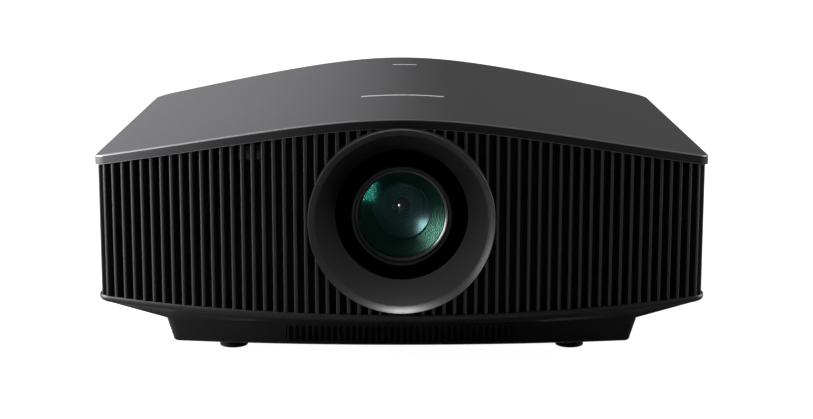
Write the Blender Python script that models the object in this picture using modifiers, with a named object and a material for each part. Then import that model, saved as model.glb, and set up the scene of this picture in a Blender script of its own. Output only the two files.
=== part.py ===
"""Home cinema projector, built as an assembly of its separate pieces.

Metres, +Z up. The lens looks along -Y. The origin is at the middle of the base,
on the surface that the feet stand on. All the driving sizes are at the top.
"""
import math

import bmesh
import bpy
from mathutils import Matrix, Vector

MM = 0.001
GAP = 0.3 * MM                      # clearance between neighbouring pieces

# Plan of the casing: a curved front, nearly straight sides and a straight rear
FRONT_CORNER_Y = -162.3 * MM        # where the front curve would meet the sides
HALF_WIDTH = 280 * MM
HALF_WIDTH_REAR = 274 * MM
REAR_Y = 247.5 * MM
FRONT_RADIUS = 546.6 * MM
FRONT_FILLET = 21 * MM
REAR_FILLET = 18 * MM

# The top is one arch from side to side, the same all along the length
TOP_Z = 230.1 * MM
ARCH_SLOPE = 0.233
ARCH_CROWN = 107.6 * MM             # how wide the rounding at the crown is
COVER_SKIN = 3 * MM
RIM_HEIGHT = 8.7 * MM
RIM_WALL = 1.8 * MM

# The upright wall under the cover: grille, side panels and rear panel
WALL_INSET = 2.3 * MM
WALL = 3.2 * MM
WALL_BOTTOM_Z = 53.2 * MM
GRILLE_END_Y = -128 * MM
SIDE_END_Y = 226 * MM

SLAT_PITCH = 9.34 * MM
SLAT_WIDTH = 3.4 * MM
SLOT_BOTTOM_Z = 56.5 * MM
FRONT_SLOTS = 28                    # on each side of the middle slat
CORNER_PITCH = 10 * MM              # along the wall, once past the front

# Bottom case: lip, sloping chin and plinth
LIP_INSET = 0.5 * MM
LIP_TOP_Z = 55.9 * MM
LIP_BOTTOM_Z = 50 * MM
CHIN_BOTTOM_Z = 34 * MM
PLINTH_BOTTOM_Z = 11 * MM
PLINTH_HALF_WIDTH = 218 * MM
PLINTH_HALF_WIDTH_REAR = 212 * MM
PLINTH_CORNER_Y = -164.3 * MM
PLINTH_REAR_Y = 222 * MM
PLINTH_RADIUS = 1350 * MM
PLINTH_TAPER = 6 * MM               # the plinth narrows this much by its lower edge
FLOOR_Z = 14 * MM
VENT_HALF_WIDTH = 106 * MM
VENT_LOW_Z = 14.5 * MM
VENT_HIGH_Z = 31.5 * MM
VENT_PITCH = 5.75 * MM
VENT_SLOT = 3.2 * MM

# Lens: every turned piece lies on this axis
LENS_Z = 140.65 * MM
BEZEL_RADIUS = 81.8 * MM
BEZEL_FRONT_Y = -247.5 * MM
DISH_EDGE_RADIUS = 76 * MM
DISH_EDGE_Y = -243.5 * MM
DISH_HOLE_RADIUS = 58.9 * MM
DISH_HOLE_Y = -212.1 * MM
BARREL_RADIUS = 45.3 * MM
BARREL_FRONT_Y = -217.3 * MM
GLASS_RADIUS = 40 * MM
DUST_DISC_RADIUS = 71 * MM           # keeps the gap round the barrel dark and closed
DUST_DISC_Y = -206.2 * MM
BARREL_TAIL_RADIUS = 30 * MM
BARREL_TAIL_Y = -112 * MM

# Lens shift
SHIFT_UP = 9 * MM
SHIFT_SIDE = 5 * MM
CARRIAGE_HALF = 62 * MM
CARRIAGE_THICK = 6 * MM
SIDE_CARRIAGE_Y = -143 * MM
UP_CARRIAGE_Y = -134.5 * MM
SHIFT_BASE_Y = -126 * MM
SCREW_RADIUS = 3 * MM

# Focus and zoom drives
GEAR_MODULE = 1.5 * MM
RING_TEETH = 68
PINION_TEETH = 12
RING_SECTOR = 62                    # degrees of teeth each side of the pinion
FOCUS_RING_Y = -203 * MM
ZOOM_RING_Y = -184 * MM
RING_THICK = 11 * MM
FOCUS_MOTOR_ANGLE = 45              # degrees round the lens axis, from +X towards +Z
ZOOM_MOTOR_ANGLE = 225

# Fans
FAN_X = 180 * MM
FAN_Z = 112 * MM
FAN_FRONT_Y = -178 * MM
FAN_HALF = 46 * MM
FAN_DEPTH = 25 * MM
FAN_BORE = 43.5 * MM
FAN_BLADES = 7

# Feet
FRONT_FOOT_X = 158 * MM
FRONT_FOOT_Y = -129.5 * MM
REAR_FOOT_X = 150 * MM
REAR_FOOT_Y = 180 * MM
FOOT_RADIUS = 13.2 * MM
FOOT_HEIGHT = 9.5 * MM

# Connector recess and buttons, on the +X side
PANEL_X = 252 * MM
RECESS_LOW = Vector((PANEL_X, -62 * MM, 66 * MM))
RECESS_HIGH = Vector((285 * MM, 84 * MM, 118 * MM))
BUTTON_STAND = 1.2 * MM
BUTTON_DEPTH = 6 * MM
BUTTONS = {                         # name: (y, z, radius)
    "power_button": (104 * MM, 92 * MM, 5.2 * MM),
    "input_button": (122 * MM, 92 * MM, 4.2 * MM),
    "menu_button": (138 * MM, 92 * MM, 4.2 * MM),
    "enter_button": (172 * MM, 92 * MM, 5.0 * MM),
    "up_button": (172 * MM, 105 * MM, 3.8 * MM),
    "down_button": (172 * MM, 79 * MM, 3.8 * MM),
    "left_button": (159 * MM, 92 * MM, 3.8 * MM),
    "right_button": (185 * MM, 92 * MM, 3.8 * MM),
}
LAMP = (93 * MM, 92 * MM, 1.5 * MM)

# Filter door, low on the -X side, and what is on the rear
DOOR_LOW = Vector((-300 * MM, 40 * MM, 68 * MM))
DOOR_HIGH = Vector((-100 * MM, 190 * MM, 152 * MM))
INLET_LOW = Vector((-207 * MM, 215 * MM, 66 * MM))
INLET_HIGH = Vector((-176 * MM, 246.5 * MM, 89 * MM))
REAR_WINDOW_LOW = Vector((-20 * MM, 241 * MM, 194 * MM))
REAR_WINDOW_HIGH = Vector((20 * MM, 245.6 * MM, 208 * MM))

ROUND_STEPS = 32
SMALL_STEPS = 16
LENS_STEPS = 20
BEZEL_STEPS = 40
FRONT_STEPS = 11                    # straight pieces in each half of the front curve
CORNER_STEPS = 4

for old in list(bpy.data.objects):
    bpy.data.objects.remove(old, do_unlink=True)

parts = bpy.data.collections.new("home_projector")
cutters = bpy.data.collections.new("cutters")
bpy.context.scene.collection.children.link(parts)
bpy.context.scene.collection.children.link(cutters)


# ---------------------------------------------------------------- materials

def material(name, colour, roughness, metallic=0.0, alpha=1.0):
    made = bpy.data.materials.new(name)
    made.use_nodes = True
    shader = made.node_tree.nodes["Principled BSDF"]
    shader.inputs["Base Color"].default_value = (*colour, 1.0)
    shader.inputs["Roughness"].default_value = roughness
    shader.inputs["Metallic"].default_value = metallic
    shader.inputs["Alpha"].default_value = alpha
    return made


CHARCOAL = material("charcoal_metal", (0.06, 0.06, 0.063), 0.42, 0.6)
BLACK = material("black_plastic", (0.018, 0.018, 0.019), 0.5)
SOFT_BLACK = material("soft_black_plastic", (0.01, 0.01, 0.011), 0.65)
GLASS = material("coated_glass", (0.02, 0.06, 0.05), 0.03, 0.0, 0.4)
RUBBER = material("rubber", (0.012, 0.012, 0.012), 0.85)
STEEL = material("zinc_steel", (0.55, 0.56, 0.57), 0.35, 1.0)
ALUMINIUM = material("aluminium", (0.62, 0.63, 0.65), 0.4, 1.0)
BRASS = material("brass", (0.65, 0.48, 0.2), 0.35, 1.0)
BOARD = material("board_green", (0.02, 0.14, 0.07), 0.55)
FILTER = material("filter_foam", (0.09, 0.09, 0.1), 0.95)
WHEEL = material("phosphor_wheel", (0.7, 0.62, 0.18), 0.5)
WHITE = material("nylon", (0.7, 0.69, 0.64), 0.5)


# ---------------------------------------------------------------- modelling helpers

def add(name, mesh, finish=None, collection=None):
    made = bpy.data.objects.new(name, mesh)
    (collection or parts).objects.link(made)
    if finish:
        mesh.materials.clear()
        mesh.materials.append(finish)
    return made


def mesh_from(name, shape):
    mesh = bpy.data.meshes.new(name)
    shape.to_mesh(mesh)
    shape.free()
    return mesh


def box(name, low, high, finish=None, bevel=0.0):
    """A block between two corners, with rounded edges if bevel is given."""
    low = Vector(low)
    high = Vector(high)
    shape = bmesh.new()
    bmesh.ops.create_cube(shape, size=1.0)
    size = high - low
    bmesh.ops.scale(shape, vec=size, verts=shape.verts)
    bmesh.ops.translate(shape, vec=(low + high) / 2, verts=shape.verts)
    made = add(name, mesh_from(name, shape), finish)
    if bevel:
        edge = made.modifiers.new("rounded", "BEVEL")
        edge.width = bevel
        edge.segments = 2
        edge.limit_method = "ANGLE"
    return made


def frame_along(direction):
    """The rotation that turns +Z to the direction given."""
    return Vector((0, 0, 1)).rotation_difference(Vector(direction)).to_matrix().to_4x4()


def cylinder(name, radius, start, end, finish=None, steps=SMALL_STEPS, end_radius=None):
    """A closed cylinder or cone from one point to another."""
    start = Vector(start)
    end = Vector(end)
    shape = bmesh.new()
    far = radius if end_radius is None else end_radius
    bmesh.ops.create_cone(shape, cap_ends=True, segments=steps, radius1=radius,
                          radius2=far, depth=(end - start).length)
    place = Matrix.Translation((start + end) / 2) @ frame_along(end - start)
    bmesh.ops.transform(shape, matrix=place, verts=shape.verts)
    made = add(name, mesh_from(name, shape), finish)
    made.data.shade_smooth()
    made.data.set_sharp_from_angle(angle=math.radians(35))
    return made


def turned(name, profile, centre, finish=None, steps=ROUND_STEPS, closed=True):
    """A turned piece on an axis along Y.

    The profile is a list of (radius, y), with its outer side running from the front
    to the rear, and closed unless both ends are on the axis.
    """
    mesh = bpy.data.meshes.new(name)
    points = [(radius, 0.0, -y) for radius, y in profile]
    count = len(points)
    edges = [(i, i + 1) for i in range(count - 1)]
    if closed:
        edges.append((count - 1, 0))
    mesh.from_pydata(points, edges, [])
    made = add(name, mesh, finish)
    made.rotation_euler = (math.radians(90), 0, 0)
    made.location = centre
    screw = made.modifiers.new("turned", "SCREW")
    screw.axis = "Z"
    screw.steps = steps
    screw.render_steps = steps
    screw.use_merge_vertices = True
    screw.merge_threshold = 0.00001
    screw.use_smooth_shade = True
    return made


def solid_mesh(made):
    """Turns a curve or a piece with modifiers into a plain welded mesh in place."""
    depsgraph = bpy.context.evaluated_depsgraph_get()
    mesh = bpy.data.meshes.new_from_object(made.evaluated_get(depsgraph))
    shape = bmesh.new()
    shape.from_mesh(mesh)
    bmesh.ops.remove_doubles(shape, verts=shape.verts, dist=0.00001)
    shape.to_mesh(mesh)
    shape.free()
    name = made.name
    place = made.matrix_world.copy()
    bpy.data.objects.remove(made, do_unlink=True)
    mesh.name = name
    result = add(name, mesh)
    result.matrix_world = place
    return result


def plate(name, outlines, depth, finish=None, place=None):
    """A flat plate from closed outlines in its own XY plane, from 0 to depth along Z."""
    curve = bpy.data.curves.new(name, "CURVE")
    curve.dimensions = "2D"
    curve.fill_mode = "BOTH"
    curve.extrude = depth / 2
    for outline in outlines:
        spline = curve.splines.new("POLY")
        spline.points.add(len(outline) - 1)
        for point, (x, y) in zip(spline.points, outline):
            point.co = (x, y, 0, 1)
        spline.use_cyclic_u = True
    if finish:
        curve.materials.append(finish)
    made = bpy.data.objects.new(name, curve)
    parts.objects.link(made)
    made.matrix_world = (place or Matrix()) @ Matrix.Translation((0, 0, depth / 2))
    bpy.context.view_layer.update()
    return solid_mesh(made)


def boolean(target, other, operation):
    """Cuts, joins or trims the target with another piece, which becomes a hidden cutter."""
    change = target.modifiers.new(other.name, "BOOLEAN")
    change.operation = operation
    change.solver = "EXACT"
    change.object = other
    for collection in other.users_collection:
        collection.objects.unlink(other)
    cutters.objects.link(other)
    other.hide_render = True
    other.display_type = "WIRE"
    return target


def cut(target, other):
    return boolean(target, other, "DIFFERENCE")


def join(target, other):
    return boolean(target, other, "UNION")


def trim(target, other):
    return boolean(target, other, "INTERSECT")


def set_origin(made, point):
    """Moves the object's origin to a point without moving the piece itself."""
    shift = Vector(point) - made.location
    inverse = made.matrix_world.to_3x3().inverted()
    made.data.transform(Matrix.Translation(inverse @ -shift))
    made.location = point
    return made


def lens_point(y, radius=0.0, angle=0.0):
    """A point at a radius and an angle round the lens axis."""
    turn = math.radians(angle)
    return Vector((radius * math.cos(turn), y, LENS_Z + radius * math.sin(turn)))


def arch_z(x):
    """The height of the outside of the top at a distance x from the middle."""
    return TOP_Z - ARCH_SLOPE * (math.hypot(x, ARCH_CROWN) - ARCH_CROWN)


# ---------------------------------------------------------------- outlines

def plan_outline(half, half_rear, corner_y, rear_y, radius, fillet, rear_fillet, inset=0.0):
    """The plan of the casing or the plinth, moved inwards by inset.

    It has a curved front, straight tapering sides, a straight rear and rounded corners.
    """
    centre = Vector((0, corner_y + math.sqrt(radius ** 2 - half ** 2)))
    side_start = Vector((half, corner_y))
    along = (Vector((half_rear, rear_y)) - side_start).normalized()
    inwards = Vector((-along.y, along.x))
    fillet = max(fillet - inset, 2 * MM)
    rear_fillet = max(rear_fillet - inset, 2 * MM)

    # The front fillet's centre is a fillet inside both the side line and the front arc
    base = side_start + inwards * (inset + fillet) - centre
    reach = radius - inset - fillet
    half_b = base.dot(along)
    travel = -half_b - math.sqrt(half_b ** 2 - base.length_squared + reach ** 2)
    front_middle = centre + base + along * travel
    front_turn = math.atan2(front_middle.x, centre.y - front_middle.y)
    side_turn = math.atan2(-inwards.y, -inwards.x)

    right = []
    for i in range(FRONT_STEPS + 1):
        turn = front_turn * i / FRONT_STEPS
        right.append(centre + Vector((math.sin(turn), -math.cos(turn))) * (radius - inset))
    start = front_turn - math.pi / 2
    for i in range(1, CORNER_STEPS + 1):
        turn = start + (side_turn - start) * i / CORNER_STEPS
        right.append(front_middle + Vector((math.cos(turn), math.sin(turn))) * fillet)

    rear_line = rear_y - inset - rear_fillet
    rear_base = side_start + inwards * (inset + rear_fillet)
    rear_middle = rear_base + along * ((rear_line - rear_base.y) / along.y)
    for i in range(CORNER_STEPS + 1):
        turn = side_turn + (math.pi / 2 - side_turn) * i / CORNER_STEPS
        right.append(rear_middle + Vector((math.cos(turn), math.sin(turn))) * rear_fillet)
    left = [Vector((-point.x, point.y)) for point in reversed(right[1:])]
    return [(point.x, point.y) for point in right + left]


def case_outline(inset=0.0):
    return plan_outline(HALF_WIDTH, HALF_WIDTH_REAR, FRONT_CORNER_Y, REAR_Y, FRONT_RADIUS,
                        FRONT_FILLET, REAR_FILLET, inset)


def plinth_outline(inset=0.0):
    return plan_outline(PLINTH_HALF_WIDTH, PLINTH_HALF_WIDTH_REAR, PLINTH_CORNER_Y,
                        PLINTH_REAR_Y, PLINTH_RADIUS, 12 * MM, 15 * MM, inset)


def arch_band(name, drop_top, drop_bottom):
    """A slab that follows the arch from side to side, between two depths below it."""
    steps = 24
    reach = 300 * MM
    xs = [reach * (2 * i / steps - 1) for i in range(steps + 1)]
    top = [(x, arch_z(x) - drop_top) for x in xs]
    if drop_bottom is None:
        bottom = [(reach, 0.0), (-reach, 0.0)]
    else:
        bottom = [(x, arch_z(x) - drop_bottom) for x in reversed(xs)]
    upright = Matrix.Translation((0, 0.3, 0)) @ Matrix.Rotation(math.radians(90), 4, "X")
    return plate(name, [top + bottom], 0.6, None, upright)


# ---------------------------------------------------------------- casing

def make_top_cover():
    """The arched shell with its turned-down rim."""
    depth = 60 * MM
    lift = Matrix.Translation((0, 0, 175 * MM))
    cover = plate("top_cover", [case_outline()], depth, CHARCOAL, lift)
    trim(cover, arch_band("cover_arch", 0.0, RIM_HEIGHT))
    hollow = plate("cover_hollow", [case_outline(RIM_WALL)], depth, None, lift)
    trim(hollow, arch_band("cover_hollow_arch", COVER_SKIN, RIM_HEIGHT + 2 * MM))
    cut(cover, hollow)
    # A shallow notch in the middle of the rim clears the lens bezel
    cut(cover, cylinder("bezel_notch", BEZEL_RADIUS + 2 * GAP, lens_point(-0.26),
                        lens_point(-0.226), None, BEZEL_STEPS))
    return cover


def wall_band(name, finish):
    """The whole upright wall of the casing, before it is divided into panels."""
    outer = case_outline(WALL_INSET)
    inner = case_outline(WALL_INSET + WALL)
    lift = Matrix.Translation((0, 0, WALL_BOTTOM_Z))
    band = plate(name, [outer, inner], 190 * MM, finish, lift)
    return trim(band, arch_band(name + "_arch", COVER_SKIN + GAP, None))


def outline_walk(outline, distance):
    """The point and direction at a distance along the right half, from the front middle."""
    for (x0, y0), (x1, y1) in zip(outline, outline[1:]):
        step = Vector((x1 - x0, y1 - y0))
        if distance <= step.length:
            direction = step.normalized()
            return Vector((x0, y0)) + direction * distance, direction
        distance -= step.length
    raise ValueError("past the end of the outline")


def make_front_grille():
    """The slatted front, one piece with its rails, and a round hole for the bezel."""
    grille = wall_band("front_grille", BLACK)
    trim(grille, box("grille_reach", (-0.3, -0.3, 0), (0.3, GRILLE_END_Y, 0.3)))
    slot = SLAT_PITCH - SLAT_WIDTH
    shape = bmesh.new()

    def add_slot(x, y, turn, high):
        size = Matrix.Diagonal((slot, 24 * MM, high - SLOT_BOTTOM_Z, 1))
        for side in (-1, 1):
            middle = Matrix.Translation((side * x, y, (SLOT_BOTTOM_Z + high) / 2))
            place = middle @ Matrix.Rotation(side * turn, 4, "Z") @ size
            bmesh.ops.create_cube(shape, size=1.0, matrix=place)

    # Over the front the slots are evenly spaced along X and open straight forwards
    centre_y = FRONT_CORNER_Y + math.sqrt(FRONT_RADIUS ** 2 - HALF_WIDTH ** 2)
    for i in range(FRONT_SLOTS):
        x = (i + 0.5) * SLAT_PITCH
        high = arch_z(x + slot / 2) - RIM_HEIGHT + 1 * MM
        under_bezel = LENS_Z - math.sqrt(max(BEZEL_RADIUS ** 2 - x ** 2, 0))
        if under_bezel > SLOT_BOTTOM_Z + 4 * MM:
            add_slot(x, centre_y - math.sqrt(FRONT_RADIUS ** 2 - x ** 2), 0.0, high)

    # They then follow the corner round on to the side
    outline = case_outline(WALL_INSET)
    start = FRONT_RADIUS * math.asin((FRONT_SLOTS - 0.5) * SLAT_PITCH / FRONT_RADIUS)
    for i in range(1, 20):
        point, direction = outline_walk(outline, start + i * CORNER_PITCH)
        if point.y > GRILLE_END_Y - slot:
            break
        high = arch_z(point.x) - RIM_HEIGHT + 0.5 * MM
        add_slot(point.x, point.y, math.atan2(direction.y, direction.x), high)
    slots = add("grille_slots", mesh_from("grille_slots", shape))
    cut(grille, slots)
    cut(grille, cylinder("grille_hole", BEZEL_RADIUS + 2 * GAP, lens_point(-0.26),
                         lens_point(-0.15), None, BEZEL_STEPS))
    return grille


def make_wall_panels():
    """Side panels and rear panel, divided from the same wall as the grille."""
    seam = 0.6 * MM
    panels = {}
    for name, side in (("side_panel_left", -1), ("side_panel_right", 1)):
        panel = wall_band(name, BLACK)
        low_x, high_x = sorted((side * 100 * MM, side * 300 * MM))
        trim(panel, box(name + "_reach", (low_x, GRILLE_END_Y + seam, 0),
                        (high_x, SIDE_END_Y, 0.3)))
        panels[name] = panel
    rear = wall_band("rear_panel", BLACK)
    trim(rear, box("rear_reach", (-0.3, SIDE_END_Y + seam, 0), (0.3, 0.3, 0.3)))

    # The right side opens for the connector panel and the buttons
    right = panels["side_panel_right"]
    wall_low = PANEL_X - 1 * MM
    cut(right, box("connector_opening", (wall_low, RECESS_LOW.y, RECESS_LOW.z),
                   (0.3, RECESS_HIGH.y, RECESS_HIGH.z)))
    for name, (y, z, radius) in (*BUTTONS.items(), ("lamp", LAMP)):
        cut(right, cylinder(name + "_hole", radius + 2 * GAP, (0.26, y, z), (0.29, y, z)))

    # The filter door's opening is low on the left side
    cut(panels["side_panel_left"], box("filter_opening",
                                       (-0.3, DOOR_LOW.y - GAP, DOOR_LOW.z - GAP),
                                       (-0.26, DOOR_HIGH.y + GAP, DOOR_HIGH.z + GAP)))

    # Intake louvres, the AC inlet and the infrared window are at the rear
    louvres = bmesh.new()
    for side in (-1, 1):
        for column in range(12):
            x = side * (96 * MM + column * SLAT_PITCH)
            size = Matrix.Diagonal((4.6 * MM, 30 * MM, 62 * MM, 1))
            place = Matrix.Translation((x, REAR_Y, 133 * MM)) @ size
            bmesh.ops.create_cube(louvres, size=1.0, matrix=place)
    cut(rear, add("intake_louvres", mesh_from("intake_louvres", louvres)))
    cut(rear, box("inlet_opening", INLET_LOW - Vector((GAP, 0.02, GAP)),
                  INLET_HIGH + Vector((GAP, 0.02, GAP))))
    cut(rear, box("window_opening", REAR_WINDOW_LOW - Vector((GAP, 0.02, GAP)),
                  REAR_WINDOW_HIGH + Vector((GAP, 0.02, GAP))))
    return panels, rear


def loft(name, loops, finish):
    """A closed skin through loops of equal count, with both ends filled."""
    shape = bmesh.new()
    rings = []
    for outline, z in loops:
        rings.append([shape.verts.new((x, y, z)) for x, y in outline])
    for lower, upper in zip(rings, rings[1:]):
        count = len(lower)
        for i in range(count):
            j = (i + 1) % count
            shape.faces.new((lower[i], lower[j], upper[j], upper[i]))
    shape.faces.new(list(reversed(rings[0])))
    shape.faces.new(rings[-1])
    bmesh.ops.recalc_face_normals(shape, faces=shape.faces)
    return add(name, mesh_from(name, shape), finish)


def make_bottom_case():
    """The tub: lip, sloping chin and plinth, open at the top."""
    outside = [
        (plinth_outline(PLINTH_TAPER + 2.5 * MM), PLINTH_BOTTOM_Z),
        (plinth_outline(PLINTH_TAPER), PLINTH_BOTTOM_Z + 2.5 * MM),
        (plinth_outline(0.0), CHIN_BOTTOM_Z),
        (case_outline(LIP_INSET + 5 * MM), LIP_BOTTOM_Z - 0.8 * MM),
        (case_outline(LIP_INSET + 1 * MM), LIP_BOTTOM_Z + 0.8 * MM),
        (case_outline(LIP_INSET), LIP_BOTTOM_Z + 2.4 * MM),
        (case_outline(LIP_INSET), LIP_TOP_Z),
    ]
    tub = loft("bottom_case", outside, SOFT_BLACK)
    inset = LIP_INSET + 1.5 * MM
    inside = [
        (plinth_outline(PLINTH_TAPER + 3 * MM), FLOOR_Z),
        (plinth_outline(3 * MM), CHIN_BOTTOM_Z + 3 * MM),
        (case_outline(inset + 5 * MM), LIP_BOTTOM_Z + 2 * MM),
        (case_outline(inset), LIP_BOTTOM_Z + 2.6 * MM),
        (case_outline(inset), LIP_TOP_Z + 2 * MM),
    ]
    cut(tub, loft("tub_hollow", inside, None))
    front_y = PLINTH_CORNER_Y - 40 * MM
    cut(tub, box("vent_opening", (-VENT_HALF_WIDTH - GAP, front_y, VENT_LOW_Z - GAP),
                 (VENT_HALF_WIDTH + GAP, -150 * MM, VENT_HIGH_Z + GAP)))
    for x in (-FRONT_FOOT_X, FRONT_FOOT_X):
        cut(tub, cylinder("stem_hole", 5.2 * MM, (x, FRONT_FOOT_Y, 0.005),
                          (x, FRONT_FOOT_Y, 0.02)))
    return tub


def make_plinth_grille():
    """The ribbed vent strip, curved like the plinth front and as steep."""
    front = loft("plinth_grille", [
        (plinth_outline(PLINTH_TAPER + 0.2 * MM), PLINTH_BOTTOM_Z + 2.5 * MM),
        (plinth_outline(0.2 * MM), CHIN_BOTTOM_Z)], BLACK)
    back = loft("vent_back", [
        (plinth_outline(PLINTH_TAPER + 2.6 * MM), PLINTH_BOTTOM_Z + 1 * MM),
        (plinth_outline(1.5 * MM), CHIN_BOTTOM_Z + 3 * MM)], None)
    cut(front, back)
    trim(front, box("vent_reach", (-VENT_HALF_WIDTH, -0.25, VENT_LOW_Z),
                    (VENT_HALF_WIDTH, -150 * MM, VENT_HIGH_Z)))
    slots = bmesh.new()
    count = int(2 * (VENT_HALF_WIDTH - 2 * MM) / VENT_PITCH)
    for i in range(count):
        x = (i - (count - 1) / 2) * VENT_PITCH
        size = Matrix.Diagonal((VENT_SLOT, 60 * MM, VENT_HIGH_Z - VENT_LOW_Z - 3.2 * MM, 1))
        place = Matrix.Translation((x, -175 * MM, (VENT_LOW_Z + VENT_HIGH_Z) / 2)) @ size
        bmesh.ops.create_cube(slots, size=1.0, matrix=place)
    return cut(front, add("vent_slots", mesh_from("vent_slots", slots)))


def side_x(y):
    """The outside of the side panels at a place along the length."""
    taper = (HALF_WIDTH - HALF_WIDTH_REAR) / (REAR_Y - FRONT_CORNER_Y)
    return HALF_WIDTH - WALL_INSET - taper * (y - FRONT_CORNER_Y)


def make_filter():
    """The hinged door in the left side panel, and the foam filter behind it."""
    door = wall_band("filter_door", BLACK)
    trim(door, box("door_reach", DOOR_LOW, DOOR_HIGH))
    hinge_y = (DOOR_LOW.y + DOOR_HIGH.y) / 2
    bpy.context.view_layer.update()
    set_origin(door, (-side_x(hinge_y), hinge_y, DOOR_LOW.z))
    low = (-265 * MM, DOOR_LOW.y + 2 * MM, DOOR_LOW.z + 2 * MM)
    high = (-256 * MM, DOOR_HIGH.y - 2 * MM, DOOR_HIGH.z - 2 * MM)
    foam = box("air_filter", low, high, FILTER, 1 * MM)
    return door, foam


def make_buttons():
    """Round keys that press 0.8 mm into the side panel."""
    for name, (y, z, radius) in BUTTONS.items():
        face = side_x(y) + BUTTON_STAND
        key = cylinder(name, radius, (face - BUTTON_DEPTH, y, z), (face, y, z), SOFT_BLACK)
        set_origin(key, (face, y, z))


def socket(name, low, high, mouth_low, mouth_high, finish, tongue=True):
    """A connector: a block with a mouth on its +X side and a contact tongue inside."""
    body = box(name, low, high, finish)
    cut(body, box(name + "_mouth", mouth_low, mouth_high))
    if tongue:
        middle = (Vector(mouth_low) + Vector(mouth_high)) / 2
        reach = (Vector(mouth_high) - Vector(mouth_low)) * 0.3
        body_low = (Vector(low).x + 1 * MM, middle.y - reach.y, middle.z - 0.6 * MM)
        body_high = (Vector(high).x - 1.5 * MM, middle.y + reach.y, middle.z + 0.6 * MM)
        join(body, box(name + "_tongue", body_low, body_high))
    return body


def make_connectors():
    """The recessed tray on the right side with its row of sockets, and the AC inlet."""
    tray_wall = 2.4 * MM
    low = RECESS_LOW - Vector((tray_wall, tray_wall, tray_wall))
    high = Vector((270.4 * MM, RECESS_HIGH.y + tray_wall, RECESS_HIGH.z + tray_wall))
    tray = box("terminal_panel", low, high, SOFT_BLACK)
    cut(tray, box("tray_hollow", RECESS_LOW, RECESS_HIGH))

    sockets = (                     # name, y, z, width along Y, height along Z
        ("hdmi_port_1", -44, 92, 15.0, 6.0),
        ("hdmi_port_2", -20, 92, 15.0, 6.0),
        ("lan_port", 4, 92, 13.0, 11.0),
        ("serial_port", 32, 92, 24.0, 9.0),
    )
    base = PANEL_X + GAP
    for name, y, z, width, height in sockets:
        half = Vector((0, width / 2 * MM, height / 2 * MM))
        rim = Vector((0, 1.2 * MM, 1.2 * MM))
        near = Vector((base, y * MM, z * MM))
        far = Vector((base + 8 * MM, y * MM, z * MM))
        mouth_near = near + Vector((1.5 * MM, 0, 0))
        mouth_far = far + Vector((2 * MM, 0, 0))
        socket(name, near - half - rim, far + half + rim, mouth_near - half,
               mouth_far + half, STEEL, name != "lan_port")
    y = 64 * MM
    jack = cylinder("trigger_jack", 4 * MM, (base, y, 92 * MM), (base + 6 * MM, y, 92 * MM), BLACK)
    cut(jack, cylinder("jack_bore", 1.8 * MM, (base + 2 * MM, y, 92 * MM),
                       (base + 8 * MM, y, 92 * MM)))

    inlet = box("ac_inlet", INLET_LOW, INLET_HIGH, SOFT_BLACK, 1 * MM)
    inset = Vector((3.2 * MM, 0, 3.2 * MM))
    mouth_low = Vector((INLET_LOW.x, INLET_HIGH.y - 17 * MM, INLET_LOW.z)) + inset
    mouth_high = Vector((INLET_HIGH.x, INLET_HIGH.y + 5 * MM, INLET_HIGH.z)) - inset
    cut(inlet, box("inlet_mouth", mouth_low, mouth_high))
    middle = (INLET_LOW + INLET_HIGH) / 2
    for offset, lift in ((-7, -1), (0, 3), (7, -1)):
        x = middle.x + offset * MM
        z = middle.z + lift * MM
        join(inlet, box("inlet_pin", (x - 1 * MM, mouth_low.y - 1 * MM, z - 2 * MM),
                        (x + 1 * MM, INLET_HIGH.y - 4 * MM, z + 2 * MM)))
    box("ir_window_rear", REAR_WINDOW_LOW, REAR_WINDOW_HIGH, GLASS, 0.8 * MM)


def make_front_details():
    """The infrared window behind the slats, and the status lamps at the right end."""
    front_y = -212.4 * MM
    box("ir_window_front", (-144 * MM, front_y, 190 * MM), (-114 * MM, front_y + 3 * MM, 203 * MM),
        GLASS, 0.6 * MM)
    y, z, radius = LAMP
    face = side_x(y) + 0.4 * MM
    cylinder("power_lamp", radius, (face - 5 * MM, y, z), (face, y, z), WHITE, 16)


# ---------------------------------------------------------------- lens

def arc_points(start, end, bulge, steps):
    """Points from one (radius, y) to another on a shallow curve, without the first."""
    (r0, y0), (r1, y1) = start, end
    points = []
    for i in range(1, steps + 1):
        t = i / steps
        lift = 4 * bulge * t * (1 - t)
        length = math.hypot(r1 - r0, y1 - y0)
        normal = ((y1 - y0) / length, -(r1 - r0) / length)
        points.append((r0 + (r1 - r0) * t + normal[0] * lift,
                       y0 + (y1 - y0) * t + normal[1] * lift))
    return points


def make_bezel():
    """The dished ring round the lens, hollow in the middle and open at the rear."""
    skin = 2.6 * MM
    rim = (BEZEL_RADIUS - 1.5 * MM, BEZEL_FRONT_Y)
    edge = (DISH_EDGE_RADIUS, DISH_EDGE_Y)
    hole = (DISH_HOLE_RADIUS, DISH_HOLE_Y)
    profile = [rim, (BEZEL_RADIUS - 0.4 * MM, BEZEL_FRONT_Y + 0.5 * MM),
               (BEZEL_RADIUS, BEZEL_FRONT_Y + 1.8 * MM), (BEZEL_RADIUS, -231 * MM),
               (BEZEL_RADIUS - skin, -231 * MM), (BEZEL_RADIUS - skin, -236 * MM)]
    inner_edge = (DISH_EDGE_RADIUS + 0.6 * MM, DISH_EDGE_Y + 5 * MM)
    inner_hole = (DISH_HOLE_RADIUS + skin, DISH_HOLE_Y + 2 * MM)
    profile.append(inner_edge)
    profile += arc_points(inner_edge, inner_hole, -3 * MM, 3)
    profile.append((DISH_HOLE_RADIUS, DISH_HOLE_Y + 2.4 * MM))
    profile.append(hole)
    profile += arc_points(hole, edge, 3.5 * MM, 5)
    return turned("lens_bezel", profile, (0, 0, LENS_Z), BLACK, BEZEL_STEPS)


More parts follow.
